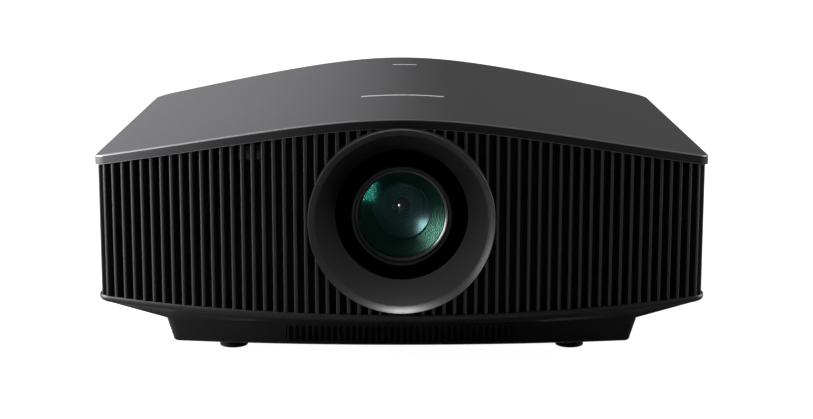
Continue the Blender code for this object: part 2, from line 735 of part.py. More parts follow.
def make_lens_barrel():
    """The barrel with its nose, its dust disc, its flange on the carriage and its tail."""
    flange_y = SIDE_CARRIAGE_Y - GAP
    profile = [
        (BARREL_RADIUS - 1.2 * MM, BARREL_FRONT_Y), (BARREL_RADIUS, BARREL_FRONT_Y + 1.2 * MM),
        (BARREL_RADIUS, DUST_DISC_Y), (DUST_DISC_RADIUS, DUST_DISC_Y),
        (DUST_DISC_RADIUS, DUST_DISC_Y + 1.4 * MM), (BARREL_RADIUS, DUST_DISC_Y + 1.4 * MM),
        (BARREL_RADIUS, flange_y - 5 * MM), (BARREL_RADIUS + 5 * MM, flange_y - 5 * MM),
        (BARREL_RADIUS + 5 * MM, flange_y), (BARREL_TAIL_RADIUS, flange_y),
        (BARREL_TAIL_RADIUS, BARREL_TAIL_Y), (BARREL_TAIL_RADIUS - 3 * MM, BARREL_TAIL_Y),
        (BARREL_TAIL_RADIUS - 3 * MM, flange_y - 5 * MM),
        (GLASS_RADIUS - 1 * MM, flange_y - 5 * MM),
        (GLASS_RADIUS - 1 * MM, BARREL_FRONT_Y + 9 * MM),
        (GLASS_RADIUS + 1 * MM, BARREL_FRONT_Y + 9 * MM),
        (GLASS_RADIUS + 1 * MM, BARREL_FRONT_Y),
    ]
    return turned("lens_barrel", profile, (0, 0, LENS_Z), BLACK)


def lens_element(name, radius, front_y, back_y, front_bulge, back_bulge, cell=None):
    """A lens with curved faces: a positive bulge stands out, a negative one is hollow.

    A cell radius adds the thin mounting ring that guides a moving lens in the barrel.
    """
    steps = 3

    def face(y, bulge, outwards):
        rows = []
        for i in range(steps + 1):
            r = radius * i / steps
            rows.append((r, y + outwards * bulge * (1 - (r / radius) ** 2)))
        return rows

    front = face(front_y, front_bulge, -1)
    back = face(back_y, back_bulge, 1)
    if cell:
        front += [(cell, front_y + 1 * MM), (cell, back_y - 1 * MM)]
    outline = front + list(reversed(back))
    return turned(name, outline, (0, 0, LENS_Z), GLASS, LENS_STEPS, False)


def gear_outline(teeth, start, end, pitch_radius, body_radius, lead):
    """A gear or a toothed sector, as a closed outline in its own plane.

    The teeth lie between two angles in degrees, on a pitch that divides the circle
    evenly, with one tooth at the angle called lead.
    """
    module = 2 * pitch_radius / teeth
    tip = pitch_radius + 0.85 * module
    root = pitch_radius - 1.1 * module
    step = 360 / teeth
    full = end - start >= 360
    first = math.ceil((start - lead) / step)
    last = math.floor((end - lead) / step)
    if full:
        first = 0
        last = teeth - 1
    outline = []
    for i in range(first, last + 1):
        middle = lead + i * step
        for turn, radius in ((-0.32, root), (-0.13, tip), (0.13, tip), (0.32, root)):
            angle = math.radians(middle + turn * step)
            outline.append((radius * math.cos(angle), radius * math.sin(angle)))
    if not full:
        low = lead + (last + 0.7) * step
        high = lead + (first - 0.7) * step + 360
        steps = 24
        for i in range(steps + 1):
            angle = math.radians(low + (high - low) * i / steps)
            outline.append((body_radius * math.cos(angle), body_radius * math.sin(angle)))
    return outline


def circle(radius, steps):
    return [(radius * math.cos(2 * math.pi * i / steps),
             radius * math.sin(2 * math.pi * i / steps)) for i in range(steps)]


def make_lens_drive(name, ring_y, angle):
    """A toothed ring that turns round the barrel, and the motor and pinion that drive it."""
    ring_radius = GEAR_MODULE * RING_TEETH / 2
    pinion_radius = GEAR_MODULE * PINION_TEETH / 2
    reach = ring_radius + pinion_radius
    # The outlines lie in a plane facing -Y, with their own +X to the right
    facing = Matrix.Rotation(math.radians(90), 4, "X")
    ring_place = Matrix.Translation(lens_point(ring_y + RING_THICK)) @ facing
    outline = gear_outline(RING_TEETH, angle - RING_SECTOR, angle + RING_SECTOR,
                           ring_radius, ring_radius - 2.6 * MM, angle)
    inner = circle(BARREL_RADIUS + 2 * GAP, ROUND_STEPS)
    ring = plate(name + "_ring", [outline, inner], RING_THICK, WHITE, ring_place)
    set_origin(ring, lens_point(ring_y))

    spin = angle + 180 + 180 / PINION_TEETH
    pinion_place = Matrix.Translation(lens_point(ring_y + RING_THICK, reach, angle)) @ facing
    outline = gear_outline(PINION_TEETH, 0, 360, pinion_radius, 0, spin)
    pinion = plate(name + "_pinion", [outline], RING_THICK, BRASS, pinion_place)
    set_origin(pinion, lens_point(ring_y, reach, angle))

    start = lens_point(ring_y + RING_THICK + 1 * MM, reach, angle)
    end = lens_point(SIDE_CARRIAGE_Y - GAP, reach, angle)
    cylinder(name + "_motor", 7 * MM, start, end, STEEL)


def carriage_plate(name, front_y, half_x, half_z, hole, finish):
    """A carriage: a square plate with a round window for the barrel's tail."""
    made = box(name, (-half_x, front_y, LENS_Z - half_z),
               (half_x, front_y + CARRIAGE_THICK, LENS_Z + half_z), finish, 1 * MM)
    return cut(made, cylinder(name + "_window", hole, lens_point(front_y - 0.02),
                              lens_point(front_y + 0.02), None, 32))


def make_lens_shift():
    """A fixed base, an up-down carriage on it, and a sideways carriage on that."""
    window = BARREL_TAIL_RADIUS + SHIFT_UP + SHIFT_SIDE
    half = CARRIAGE_HALF

    base = carriage_plate("shift_base", SHIFT_BASE_Y, 84 * MM, 72 * MM, window, ALUMINIUM)
    join(base, box("base_foot", (-60 * MM, SHIFT_BASE_Y, FLOOR_Z + GAP),
                   (60 * MM, SHIFT_BASE_Y + CARRIAGE_THICK, LENS_Z - 60 * MM)))
    up_screw_x = half + 13 * MM
    screw_y = UP_CARRIAGE_Y + CARRIAGE_THICK / 2
    for side in (-1, 1):
        z = LENS_Z + side * 62 * MM
        low = (up_screw_x - 5 * MM, screw_y - 5 * MM, z - 3 * MM)
        high = (up_screw_x + 5 * MM, SHIFT_BASE_Y + 1 * MM, z + 3 * MM)
        join(base, box("screw_bearing", low, high))

    up = carriage_plate("up_carriage", UP_CARRIAGE_Y, half + 4 * MM, half - 6 * MM, window,
                        ALUMINIUM)
    join(up, box("up_nut", (half, screw_y - 5 * MM, LENS_Z - 12 * MM),
                 (up_screw_x + 6 * MM, screw_y + 3 * MM, LENS_Z + 12 * MM)))
    bore = SCREW_RADIUS + GAP
    cut(up, cylinder("up_nut_bore", bore, (up_screw_x, screw_y - 1 * MM, LENS_Z - 0.03),
                     (up_screw_x, screw_y - 1 * MM, LENS_Z + 0.03)))
    screw_top = 59 * MM - GAP
    up_screw = cylinder("up_lead_screw", SCREW_RADIUS,
                        (up_screw_x, screw_y - 1 * MM, LENS_Z - screw_top),
                        (up_screw_x, screw_y - 1 * MM, LENS_Z + screw_top), STEEL)
    set_origin(up_screw, (up_screw_x, screw_y - 1 * MM, LENS_Z))

    side_screw_z = LENS_Z - half - 6 * MM
    side_y = SIDE_CARRIAGE_Y + CARRIAGE_THICK / 2
    for side in (-1, 1):
        x = side * 46 * MM
        join(up, box("side_bearing", (x - 3 * MM, side_y - 5 * MM, side_screw_z - 5 * MM),
                     (x + 3 * MM, UP_CARRIAGE_Y + 2 * MM, LENS_Z - half + 7 * MM)))
    sideways = carriage_plate("side_carriage", SIDE_CARRIAGE_Y, half, half - 8 * MM,
                              BARREL_TAIL_RADIUS + GAP, ALUMINIUM)
    join(sideways, box("side_nut", (-12 * MM, side_y - 3 * MM, side_screw_z - 5 * MM),
                       (12 * MM, side_y + 4 * MM, LENS_Z - half + 12 * MM)))
    cut(sideways, cylinder("side_nut_bore", SCREW_RADIUS + GAP / 3,
                           (-0.03, side_y, side_screw_z), (0.03, side_y, side_screw_z)))
    side_screw = cylinder("side_lead_screw", SCREW_RADIUS - GAP,
                          (-43 * MM + GAP, side_y, side_screw_z),
                          (43 * MM - GAP, side_y, side_screw_z), STEEL)
    set_origin(side_screw, (0, side_y, side_screw_z))


def make_lens():
    make_bezel()
    make_lens_barrel()
    lens_element("front_glass", GLASS_RADIUS, BARREL_FRONT_Y + 2.5 * MM,
                 BARREL_FRONT_Y + 8.5 * MM, 1.8 * MM, -2.5 * MM)
    cell = GLASS_RADIUS - 1.6 * MM
    lens_element("focus_group", 26.2 * MM, -190 * MM, -181 * MM, 2.5 * MM, 1.5 * MM, cell)
    lens_element("zoom_group", 22 * MM, -170 * MM, -160 * MM, 3 * MM, 2 * MM, cell)
    make_lens_drive("focus", FOCUS_RING_Y, FOCUS_MOTOR_ANGLE)
    make_lens_drive("zoom", ZOOM_RING_Y, ZOOM_MOTOR_ANGLE)
    make_lens_shift()


# ---------------------------------------------------------------- inside

def make_fan(side_name, side):
    """A box fan: a square frame with a motor plate, and its turning rotor."""
    x = side * FAN_X
    middle = Vector((x, FAN_FRONT_Y, FAN_Z))
    back_y = FAN_FRONT_Y + FAN_DEPTH
    frame = box("fan_frame_" + side_name, (x - FAN_HALF, FAN_FRONT_Y, FAN_Z - FAN_HALF),
                (x + FAN_HALF, back_y, FAN_Z + FAN_HALF), BLACK, 2 * MM)
    cut(frame, cylinder("fan_bore", FAN_BORE, middle - Vector((0, 0.01, 0)),
                        middle + Vector((0, 0.04, 0)), None, 24))
    hub = 19 * MM
    plate_y = back_y - 3 * MM
    join(frame, cylinder("motor_plate", hub, (x, plate_y, FAN_Z), (x, back_y, FAN_Z)))
    for i in range(4):
        strut = box("fan_strut", (hub - 3 * MM, plate_y, -2 * MM),
                    (FAN_BORE + 1 * MM, back_y, 2 * MM))
        strut.location = (x, 0, FAN_Z)
        strut.rotation_euler = (0, math.radians(45 + 90 * i), 0)
        join(frame, strut)

    front = FAN_FRONT_Y + 2 * MM
    rotor = cylinder("fan_rotor_" + side_name, hub, (x, front, FAN_Z),
                     (x, plate_y - 1 * MM, FAN_Z), SOFT_BLACK)
    for i in range(FAN_BLADES):
        blade = box("fan_blade", (hub - 3 * MM, -8 * MM, -0.8 * MM),
                    (FAN_BORE - 1.5 * MM, 8 * MM, 0.8 * MM))
        blade.location = (x, (front + plate_y) / 2, FAN_Z)
        turn = Matrix.Rotation(2 * math.pi * i / FAN_BLADES, 4, "Y")
        pitch = Matrix.Rotation(math.radians(38), 4, "X")
        blade.rotation_euler = (turn @ pitch).to_euler()
        join(rotor, blade)
    set_origin(rotor, (x, front, FAN_Z))


def make_light_source():
    """Laser block with its finned heat sink, and the phosphor wheel on its motor."""
    box("laser_source", (-232 * MM, -60 * MM, 58 * MM), (-150 * MM, 10 * MM, 118 * MM),
        ALUMINIUM, 1.5 * MM)
    low = Vector((-238 * MM, 12 * MM, 58 * MM))
    high = Vector((-148 * MM, 96 * MM, 124 * MM))
    sink = box("heat_sink", low, high, ALUMINIUM)
    fins = bmesh.new()
    gaps = 9
    pitch = (high.x - low.x) / (gaps + 0.5)
    for i in range(gaps):
        x = low.x + (i + 0.75) * pitch
        size = Matrix.Diagonal((pitch * 0.7, 0.2, high.z - low.z - 8 * MM, 1))
        place = Matrix.Translation((x, 54 * MM, high.z - (high.z - low.z) / 2 + 8 * MM)) @ size
        bmesh.ops.create_cube(fins, size=1.0, matrix=place)
    cut(sink, add("fin_gaps", mesh_from("fin_gaps", fins)))

    wheel_x = -112 * MM
    wheel_z = 100 * MM
    wheel = cylinder("phosphor_wheel", 32 * MM, (wheel_x, 47 * MM, wheel_z),
                     (wheel_x, 49 * MM, wheel_z), WHEEL, 24)
    join(wheel, cylinder("wheel_hub", 9 * MM, (wheel_x, 45 * MM, wheel_z),
                         (wheel_x, 51 * MM, wheel_z)))
    set_origin(wheel, (wheel_x, 48 * MM, wheel_z))
    motor = cylinder("wheel_motor", 14 * MM, (wheel_x, 51.5 * MM, wheel_z),
                     (wheel_x, 72 * MM, wheel_z), STEEL)
    join(motor, box("motor_bracket", (wheel_x - 12 * MM, 66 * MM, FLOOR_Z + GAP),
                    (wheel_x + 12 * MM, 70 * MM, wheel_z)))


def make_electronics():
    """Prism and panel housing, main board with chips, and the power supply."""
    engine = box("optical_engine", (-76 * MM, -104 * MM, 78 * MM),
                 (70 * MM, 30 * MM, 200 * MM), BLACK, 3 * MM)
    join(engine, cylinder("light_duct", 20 * MM, (-112 * MM, -20 * MM, 100 * MM),
                          (-70 * MM, -20 * MM, 100 * MM)))
    board = box("main_board", (82 * MM, -100 * MM, 132 * MM),
                (246 * MM, 196 * MM, 133.8 * MM), BOARD)
    for x, y, half, height in ((130, -40, 18, 4), (190, 10, 14, 3), (120, 60, 20, 12),
                               (200, 120, 16, 5)):
        join(board, box("chip", ((x - half) * MM, (y - half) * MM, 133 * MM),
                        ((x + half) * MM, (y + half) * MM, (133.8 + height) * MM)))
    supply = box("power_supply", (84 * MM, 20 * MM, 54 * MM), (240 * MM, 200 * MM, 124 * MM),
                 STEEL, 1 * MM)
    vents = bmesh.new()
    for i in range(8):
        place = Matrix.Translation(((105 + 15 * i) * MM, 200 * MM, 90 * MM))
        size = Matrix.Diagonal((6 * MM, 8 * MM, 50 * MM, 1))
        bmesh.ops.create_cube(vents, size=1.0, matrix=place @ size)
    cut(supply, add("supply_vents", mesh_from("supply_vents", vents)))


# ---------------------------------------------------------------- feet

def make_front_foot(side_name, side):
    """A screw foot: a threaded stem through the plinth floor, and a broad turning pad."""
    x = side * FRONT_FOOT_X
    top = PLINTH_BOTTOM_Z - GAP
    pad = cylinder("foot_pad_" + side_name, FOOT_RADIUS - 1.2 * MM, (x, FRONT_FOOT_Y, 0),
                   (x, FRONT_FOOT_Y, 1.6 * MM), RUBBER, 20, FOOT_RADIUS)
    join(pad, cylinder("pad_body", FOOT_RADIUS, (x, FRONT_FOOT_Y, 1.5 * MM),
                       (x, FRONT_FOOT_Y, FOOT_HEIGHT), None, 20))
    set_origin(pad, (x, FRONT_FOOT_Y, 0))
    stem = cylinder("foot_stem_" + side_name, 4.9 * MM, (x, FRONT_FOOT_Y, FOOT_HEIGHT + GAP),
                    (x, FRONT_FOOT_Y, 40 * MM), STEEL)
    join(stem, cylinder("stem_collar", 8 * MM, (x, FRONT_FOOT_Y, FOOT_HEIGHT + GAP),
                        (x, FRONT_FOOT_Y, top)))
    set_origin(stem, (x, FRONT_FOOT_Y, 0))


def make_rear_foot(side_name, side):
    """A fixed rubber foot under the rear of the plinth."""
    x = side * REAR_FOOT_X
    foot = cylinder("rear_foot_" + side_name, FOOT_RADIUS, (x, REAR_FOOT_Y, 1.5 * MM),
                    (x, REAR_FOOT_Y, PLINTH_BOTTOM_Z - GAP), RUBBER, 20)
    join(foot, cylinder("foot_tread", FOOT_RADIUS - 1.2 * MM, (x, REAR_FOOT_Y, 0),
                        (x, REAR_FOOT_Y, 1.6 * MM), None, 20, FOOT_RADIUS))


def build():
    make_top_cover()
    make_front_grille()
    make_wall_panels()
    make_bottom_case()
    make_plinth_grille()
    make_filter()
    make_buttons()
    make_connectors()
    make_front_details()
    make_lens()
    for side_name, side in (("left", -1), ("right", 1)):
        make_fan(side_name, side)
        make_front_foot(side_name, side)
        make_rear_foot(side_name, side)
    make_light_source()
    make_electronics()


build()
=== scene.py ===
"""Looks of the home cinema projector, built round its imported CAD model. Metres, +Z up."""
import math

import bmesh
import bpy
from mathutils import Matrix, Vector


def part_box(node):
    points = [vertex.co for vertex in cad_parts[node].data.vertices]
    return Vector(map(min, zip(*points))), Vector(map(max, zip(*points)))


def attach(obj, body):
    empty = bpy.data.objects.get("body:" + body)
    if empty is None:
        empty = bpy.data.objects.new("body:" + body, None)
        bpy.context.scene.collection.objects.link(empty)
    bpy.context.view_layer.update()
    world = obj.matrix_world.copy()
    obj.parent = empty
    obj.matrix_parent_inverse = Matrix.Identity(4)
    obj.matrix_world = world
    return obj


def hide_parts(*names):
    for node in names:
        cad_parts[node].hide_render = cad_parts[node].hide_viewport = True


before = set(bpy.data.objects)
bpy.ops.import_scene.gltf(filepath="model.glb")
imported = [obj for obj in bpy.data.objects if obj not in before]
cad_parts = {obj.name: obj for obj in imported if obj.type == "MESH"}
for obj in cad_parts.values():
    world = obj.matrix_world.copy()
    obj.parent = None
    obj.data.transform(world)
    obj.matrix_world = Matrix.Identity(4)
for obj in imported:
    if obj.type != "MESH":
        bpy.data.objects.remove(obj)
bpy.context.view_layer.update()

MM = 0.001

# ---------------------------------------------------------------- sizes from the frame


def corners(node):
    """The low and high corners of a node's box."""
    low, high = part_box(node)
    return Vector(low), Vector(high)


def round_node(node):
    """The corners, the middle and the radius of a turned node on the X or Z axis."""
    low, high = corners(node)
    return low, high, (low + high) / 2, (high.y - low.y) / 2


COVER_HIGH = corners("top_cover")[1]
BEZEL_LOW, BEZEL_HIGH = corners("lens_bezel")
CASE_LOW, CASE_HIGH = corners("bottom_case")
VENT_LOW, VENT_HIGH = corners("plinth_grille")
LENS_Z = (BEZEL_LOW.z + BEZEL_HIGH.z) / 2
LENS_CENTRE = Vector((0, 0, LENS_Z))
BEZEL_RADIUS = (BEZEL_HIGH.z - BEZEL_LOW.z) / 2
BEZEL_FRONT_Y = BEZEL_LOW.y
BARREL_FRONT_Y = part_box("lens_barrel")[0][1]
TOP_Z = COVER_HIGH.z
REAR_Y = COVER_HIGH.y
LIP_TOP_Z = CASE_HIGH.z
PLINTH_BOTTOM_Z = CASE_LOW.z
FAR = 0.4                           # well past the casing on every side

# Plan of the casing: curved front, nearly straight sides, straight rear
FRONT_CORNER_Y = -162.3 * MM
HALF_WIDTH = 280 * MM
HALF_WIDTH_REAR = 274 * MM
FRONT_RADIUS = 546.6 * MM
FRONT_FILLET = 21 * MM
REAR_FILLET = 18 * MM
FRONT_CENTRE_Y = FRONT_CORNER_Y + math.sqrt(FRONT_RADIUS ** 2 - HALF_WIDTH ** 2)

# The arch of the top, from side to side
ARCH_SLOPE = 0.233
ARCH_CROWN = 107.6 * MM
RIM_HEIGHT = 8.7 * MM
RIM_WALL = 1.8 * MM
RIDGE_ROUND = 1.7 * MM
COVER_SKIN = 3 * MM
COVER_MIDDLE_Y = 10 * MM

WALL_INSET = 2.3 * MM
WALL = 3.2 * MM
WALL_GAP = 0.35 * MM                # between a wall's opening and what stands in it
WALL_EDGE = 0.35 * MM
GRILLE_END_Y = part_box("front_grille")[1][1]
SIDE_END_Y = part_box("side_panel_left")[1][1]
WALL_BOTTOM_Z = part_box("front_grille")[0][2]

SLAT_PITCH = 9.34 * MM
SLAT_WIDTH = 3.3 * MM
SLAT_DEPTH = 9 * MM
SLAT_BACK = 2.2 * MM
FRONT_SLATS = 28
CORNER_PITCH = 10 * MM

LIP_INSET = 0.5 * MM
LIP_BOTTOM_Z = 50 * MM
CHIN_BOTTOM_Z = 34 * MM
FLOOR_Z = 14 * MM
PLINTH_HALF_WIDTH = 218 * MM
PLINTH_HALF_WIDTH_REAR = 212 * MM
PLINTH_CORNER_Y = -164.3 * MM
PLINTH_REAR_Y = 222 * MM
PLINTH_RADIUS = 1350 * MM
PLINTH_TAPER = 6 * MM

ROUND = 128                         # steps round a large turned piece


def arch_z(x):
    """The height of the outside of the top at a distance x from the middle."""
    return TOP_Z - ARCH_SLOPE * (math.hypot(x, ARCH_CROWN) - ARCH_CROWN)


# ---------------------------------------------------------------- material nodes

class Paint:
    """A node material, put together a few nodes at a time."""

    def __init__(self, name, **settings):
        self.material = bpy.data.materials.new(name)
        self.material.use_nodes = True
        self.tree = self.material.node_tree
        self.shader = self.tree.nodes["Principled BSDF"]
        coordinates = self.tree.nodes.new("ShaderNodeTexCoord")
        self.place = coordinates.outputs["Object"]
        for socket, value in settings.items():
            self.shader.inputs[socket.replace("_", " ")].default_value = value

    def node(self, kind, links=None, **values):
        made = self.tree.nodes.new(kind)
        for key, value in values.items():
            if hasattr(made, key):
                setattr(made, key, value)
            else:
                made.inputs[key.replace("_", " ")].default_value = value
        for key, source in (links or {}).items():
            self.tree.links.new(source, made.inputs[key])
        return made

    def stretched(self, scale):
        return self.node("ShaderNodeMapping", {"Vector": self.place}, Scale=scale).outputs[0]

    def noise(self, scale, detail=3.0, place=None):
        return self.node("ShaderNodeTexNoise", {"Vector": place or self.place}, Scale=scale,
                         Detail=detail).outputs["Fac"]

    def ramp(self, source, low, high, start=0.3, end=0.7):
        """A colour or grey that runs from low to high as the source rises."""
        made = self.node("ShaderNodeValToRGB", {"Fac": source})
        for element, position, value in zip(made.color_ramp.elements, (start, end), (low, high)):
            element.position = position
            element.color = (*value, 1) if isinstance(value, tuple) else (value,) * 3 + (1,)
        return made.outputs["Color"]

    def drive(self, socket, source):
        self.tree.links.new(source, self.shader.inputs[socket])
        return self

    def colour(self, source, low, high, start=0.3, end=0.7):
        return self.drive("Base Color", self.ramp(source, low, high, start, end))

    def roughness(self, source, low, high):
        return self.drive("Roughness", self.ramp(source, low, high))

    def bump(self, source, strength, distance):
        made = self.node("ShaderNodeBump", {"Height": source}, Strength=strength,
                         Distance=distance)
        return self.drive("Normal", made.outputs["Normal"])


def metallic_paint(name, low, high, shine=0.1, rough=0.52):
    """Charcoal paint with a fine metal flake, as on the cover."""
    paint = Paint(name, Metallic=0.02, Specular_Tint=(0.6, 0.6, 0.6, 1), Specular_IOR_Level=shine)
    flake = paint.noise(2600, 2.0)
    broad = paint.noise(3.0, 3.0)
    paint.colour(flake, low, high, 0.35, 0.65)
    paint.roughness(broad, rough, rough + 0.06)
    return paint.bump(flake, 0.12, 0.00005)


def textured_plastic(name, low, high, rough, grain=1400, strength=0.18, depth=0.00006,
                     **settings):
    """Moulded plastic with a fine spark-eroded grain."""
    paint = Paint(name, **settings)
    broad = paint.noise(9, 4.0)
    fine = paint.noise(grain, 3.0)
    paint.colour(broad, low, high)
    paint.roughness(fine, rough - 0.05, rough + 0.07)
    return paint.bump(fine, strength, depth)


def metal(name, low, high, rough, stretch=(1, 1, 60), scale=30):
    """Machined or plated metal with fine drawn lines."""
    paint = Paint(name, Metallic=1.0)
    lines = paint.noise(scale, 4.0, paint.stretched(stretch))
    paint.colour(lines, low, high)
    paint.roughness(lines, rough - 0.06, rough + 0.08)
    return paint.bump(lines, 0.1, 0.00004)


def rubber_skin(name):
    paint = Paint(name)
    fine = paint.noise(900, 4.0)
    dust = paint.noise(60, 4.0)
    paint.colour(dust, 0.010, (0.022, 0.022, 0.021))
    paint.roughness(fine, 0.72, 0.9)
    return paint.bump(fine, 0.3, 0.0001)


CHARCOAL = metallic_paint("charcoal_cover", (0.068, 0.068, 0.071), (0.098, 0.098, 0.102))
# A darker copy of the cover paint for its upright faces: painted shade on the rim
COVER_RIM_PAINTED_SHADE = metallic_paint("charcoal_rim_painted_shade", (0.026, 0.026, 0.028), (0.038, 0.038, 0.040))
# A lighter, glossier copy of the cover paint for the rounded ridge; its lighter colour is a painted
# highlight
COVER_RIDGE_PAINTED_HIGHLIGHT = metallic_paint("charcoal_ridge_painted_highlight", (0.17, 0.17, 0.175), (0.21, 0.21, 0.215), 0.9, 0.32)
GRILLE = textured_plastic("grille_black", 0.009, 0.012, 0.40)
CASE = textured_plastic("case_black", 0.008, 0.012, 0.42)
PANEL = textured_plastic("panel_black", 0.012, 0.016, 0.5, 900, 0.3, 0.0001)
BEZEL = textured_plastic("bezel_black", (0.010, 0.010, 0.0105), (0.013, 0.013, 0.0135), 0.34,
                         2200, 0.06, 0.00003)
KEY = textured_plastic("key_black", (0.034, 0.034, 0.035), (0.042, 0.042, 0.043), 0.38)
LENS_BLACK = textured_plastic("anodised_black", 0.004, 0.006, 0.38, 1800, 0.06, 0.00003)
# Near-black for the sheets behind the grille and the plinth vent: painted shade for the dark inside
SHADE_BLACK = textured_plastic("painted_shade_black", 0.002, 0.004, 0.85)
RUBBER = rubber_skin("foot_rubber")
STEEL = metal("zinc_steel", (0.42, 0.43, 0.44), (0.62, 0.63, 0.64), 0.32)
ALUMINIUM = metal("machined_aluminium", (0.52, 0.53, 0.55), (0.68, 0.69, 0.71), 0.38)
DARK_METAL = metal("black_anodised_casting", (0.03, 0.03, 0.032), (0.05, 0.05, 0.052), 0.5)
BRASS = metal("machined_brass", (0.5, 0.36, 0.14), (0.7, 0.52, 0.22), 0.3)


# ---------------------------------------------------------------- mesh helpers

def finish_piece(made, paint, body, replaced=(), sharp=35):
    """Gives a new piece its material, its body and the CAD nodes that it stands for."""
    made.data.materials.clear()
    made.data.materials.append(paint.material)
    made.data.shade_smooth()
    made.data.set_sharp_from_angle(angle=math.radians(sharp))
    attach(made, body)
    if replaced:
        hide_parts(*replaced)
    return made


def link(name, shape):
    mesh = bpy.data.meshes.new(name)
    shape.to_mesh(mesh)
    shape.free()
    made = bpy.data.objects.new(name, mesh)
    bpy.context.scene.collection.objects.link(made)
    return made


def add_skin(shape, rings, ends=(True, True), loop=False):
    """Adds a skin through rings of points to a bmesh; a ring of one point is a tip."""
    rows = [[shape.verts.new(point) for point in points] for points in rings]
    faces = []
    for lower, upper in zip(rows, rows[1:] + rows[:1] if loop else rows[1:]):
        count = max(len(lower), len(upper))
        for i in range(count if count > 1 else 0):
            around = ((lower, i), (lower, i + 1), (upper, i + 1), (upper, i))
            once = dict.fromkeys(row[k % len(row)] for row, k in around)
            faces.append(shape.faces.new(tuple(once)))
    for filled, row in zip(ends, (rows[0], rows[-1])):
        if filled and not loop and len(row) > 2:
            faces.append(shape.faces.new(row))
    bmesh.ops.recalc_face_normals(shape, faces=faces)


def skin(name, rings, ends=(True, True), loop=False):
    """A skin through rings of points as a piece of its own."""
    shape = bmesh.new()
    add_skin(shape, rings, ends, loop)
    return link(name, shape)


def facing(centre, direction):
    """The place whose Z axis points in a direction."""
    turn = Vector((0, 0, 1)).rotation_difference(Vector(direction))
    return Matrix.Translation(centre) @ turn.to_matrix().to_4x4()


def ring(place, steps, radius, along):
    """Points round a place's Z axis. The radius is fixed, or a function of the step."""
    if not callable(radius) and radius < 1e-7:
        return [place @ Vector((0, 0, along))]
    points = []
    for i in range(steps):
        turn = 2 * math.pi * i / steps
        reach = radius(i) if callable(radius) else radius
        points.append(place @ Vector((reach * math.cos(turn), reach * math.sin(turn), along)))
    return points


def lathe(name, profile, centre, direction=(0, -1, 0), steps=ROUND, closed=True):
    """A turned piece: (radius, distance along the direction) points round an axis."""
    place = facing(centre, direction)
    rings = [ring(place, steps, radius, along) for radius, along in profile]
    return skin(name, rings, (False, False), closed)


def block(shape, low, high, place=Matrix()):
    """Adds a box between two corners of a place to a bmesh."""
    low = Vector(low)
    high = Vector(high)
    size = Matrix.Diagonal((*(high - low), 1))
    bmesh.ops.create_cube(shape, size=1.0,
                          matrix=place @ Matrix.Translation((low + high) / 2) @ size)


def about(place, low, high):
    """The corners of a block, given in millimetres from a place."""
    return Vector(place) + Vector(low) * MM, Vector(place) + Vector(high) * MM


def rounded(made, width, segments=2, angle=35):
    """Rounds a piece's edges and makes that part of its mesh."""
    change = made.modifiers.new("rounded", "BEVEL")
    change.width = width
    change.segments = segments
    change.limit_method = "ANGLE"
    change.angle_limit = math.radians(angle)
    return apply_all(made)


def even_shading(made):
    """Lets the large flat faces set the shading, so that cut edges leave no streaks."""
    change = made.modifiers.new("even", "WEIGHTED_NORMAL")
    change.weight = 100
    change.keep_sharp = True


def near(radius, along, *steps):
    """Points of a profile, each some millimetres outwards and onwards from a place."""
    return [(radius + out * MM, along + onwards * MM) for out, onwards in steps]


def arc(start, end, bulge, steps):
    """Points from one (radius, along) to another on a shallow curve, both ends included."""
    (r0, a0), (r1, a1) = start, end
    length = math.hypot(r1 - r0, a1 - a0)
    normal = (-(a1 - a0) / length, (r1 - r0) / length)
    points = []
    for i in range(steps + 1):
        t = i / steps
        lift = 4 * bulge * t * (1 - t)
        points.append((r0 + (r1 - r0) * t + normal[0] * lift,
                       a0 + (a1 - a0) * t + normal[1] * lift))
    return points


# ---------------------------------------------------------------- outlines

def turned(centre, radius, first, last, steps):
    """Points of a flat arc from one angle to another, both ends included."""
    turns = [first + (last - first) * i / steps for i in range(steps + 1)]
    return [centre + Vector((math.cos(turn), math.sin(turn))) * radius for turn in turns]


def plan_outline(half, half_rear, corner_y, rear_y, radius, fillet, rear_fillet, inset,
                 front_steps=44, corner_steps=10, side_steps=14, rear_steps=24):
    """The plan of the casing or plinth moved inwards, as one loop from the front middle."""
    centre = Vector((0, corner_y + math.sqrt(radius ** 2 - half ** 2)))
    side_start = Vector((half, corner_y))
    along = (Vector((half_rear, rear_y)) - side_start).normalized()
    inwards = Vector((-along.y, along.x))
    fillet = max(fillet - inset, 2 * MM)
    rear_fillet = max(rear_fillet - inset, 2 * MM)
    base = side_start + inwards * (inset + fillet) - centre
    reach = radius - inset - fillet
    half_b = base.dot(along)
    travel = -half_b - math.sqrt(half_b ** 2 - base.length_squared + reach ** 2)
    front_middle = centre + base + along * travel
    front_turn = math.atan2(front_middle.x, centre.y - front_middle.y)
    side_turn = math.atan2(-inwards.y, -inwards.x)

    down = -math.pi / 2
    front_turn += down
    right = turned(centre, radius - inset, down, front_turn, front_steps)
    right += turned(front_middle, fillet, front_turn, side_turn, corner_steps)[1:]
    rear_base = side_start + inwards * (inset + rear_fillet)
    rear_line = rear_y - inset - rear_fillet
    rear_middle = rear_base + along * ((rear_line - rear_base.y) / along.y)
    side_end = rear_middle - inwards * rear_fillet
    side_begin = right[-1].copy()
    for i in range(1, side_steps):
        right.append(side_begin.lerp(side_end, i / side_steps))
    right += turned(rear_middle, rear_fillet, side_turn, math.pi / 2, corner_steps)
    rear_begin = right[-1].copy()
    for i in range(1, rear_steps + 1):
        right.append(rear_begin.lerp(Vector((0, rear_begin.y)), i / rear_steps))
    left = [Vector((-point.x, point.y)) for point in reversed(right[1:-1])]
    return right + left


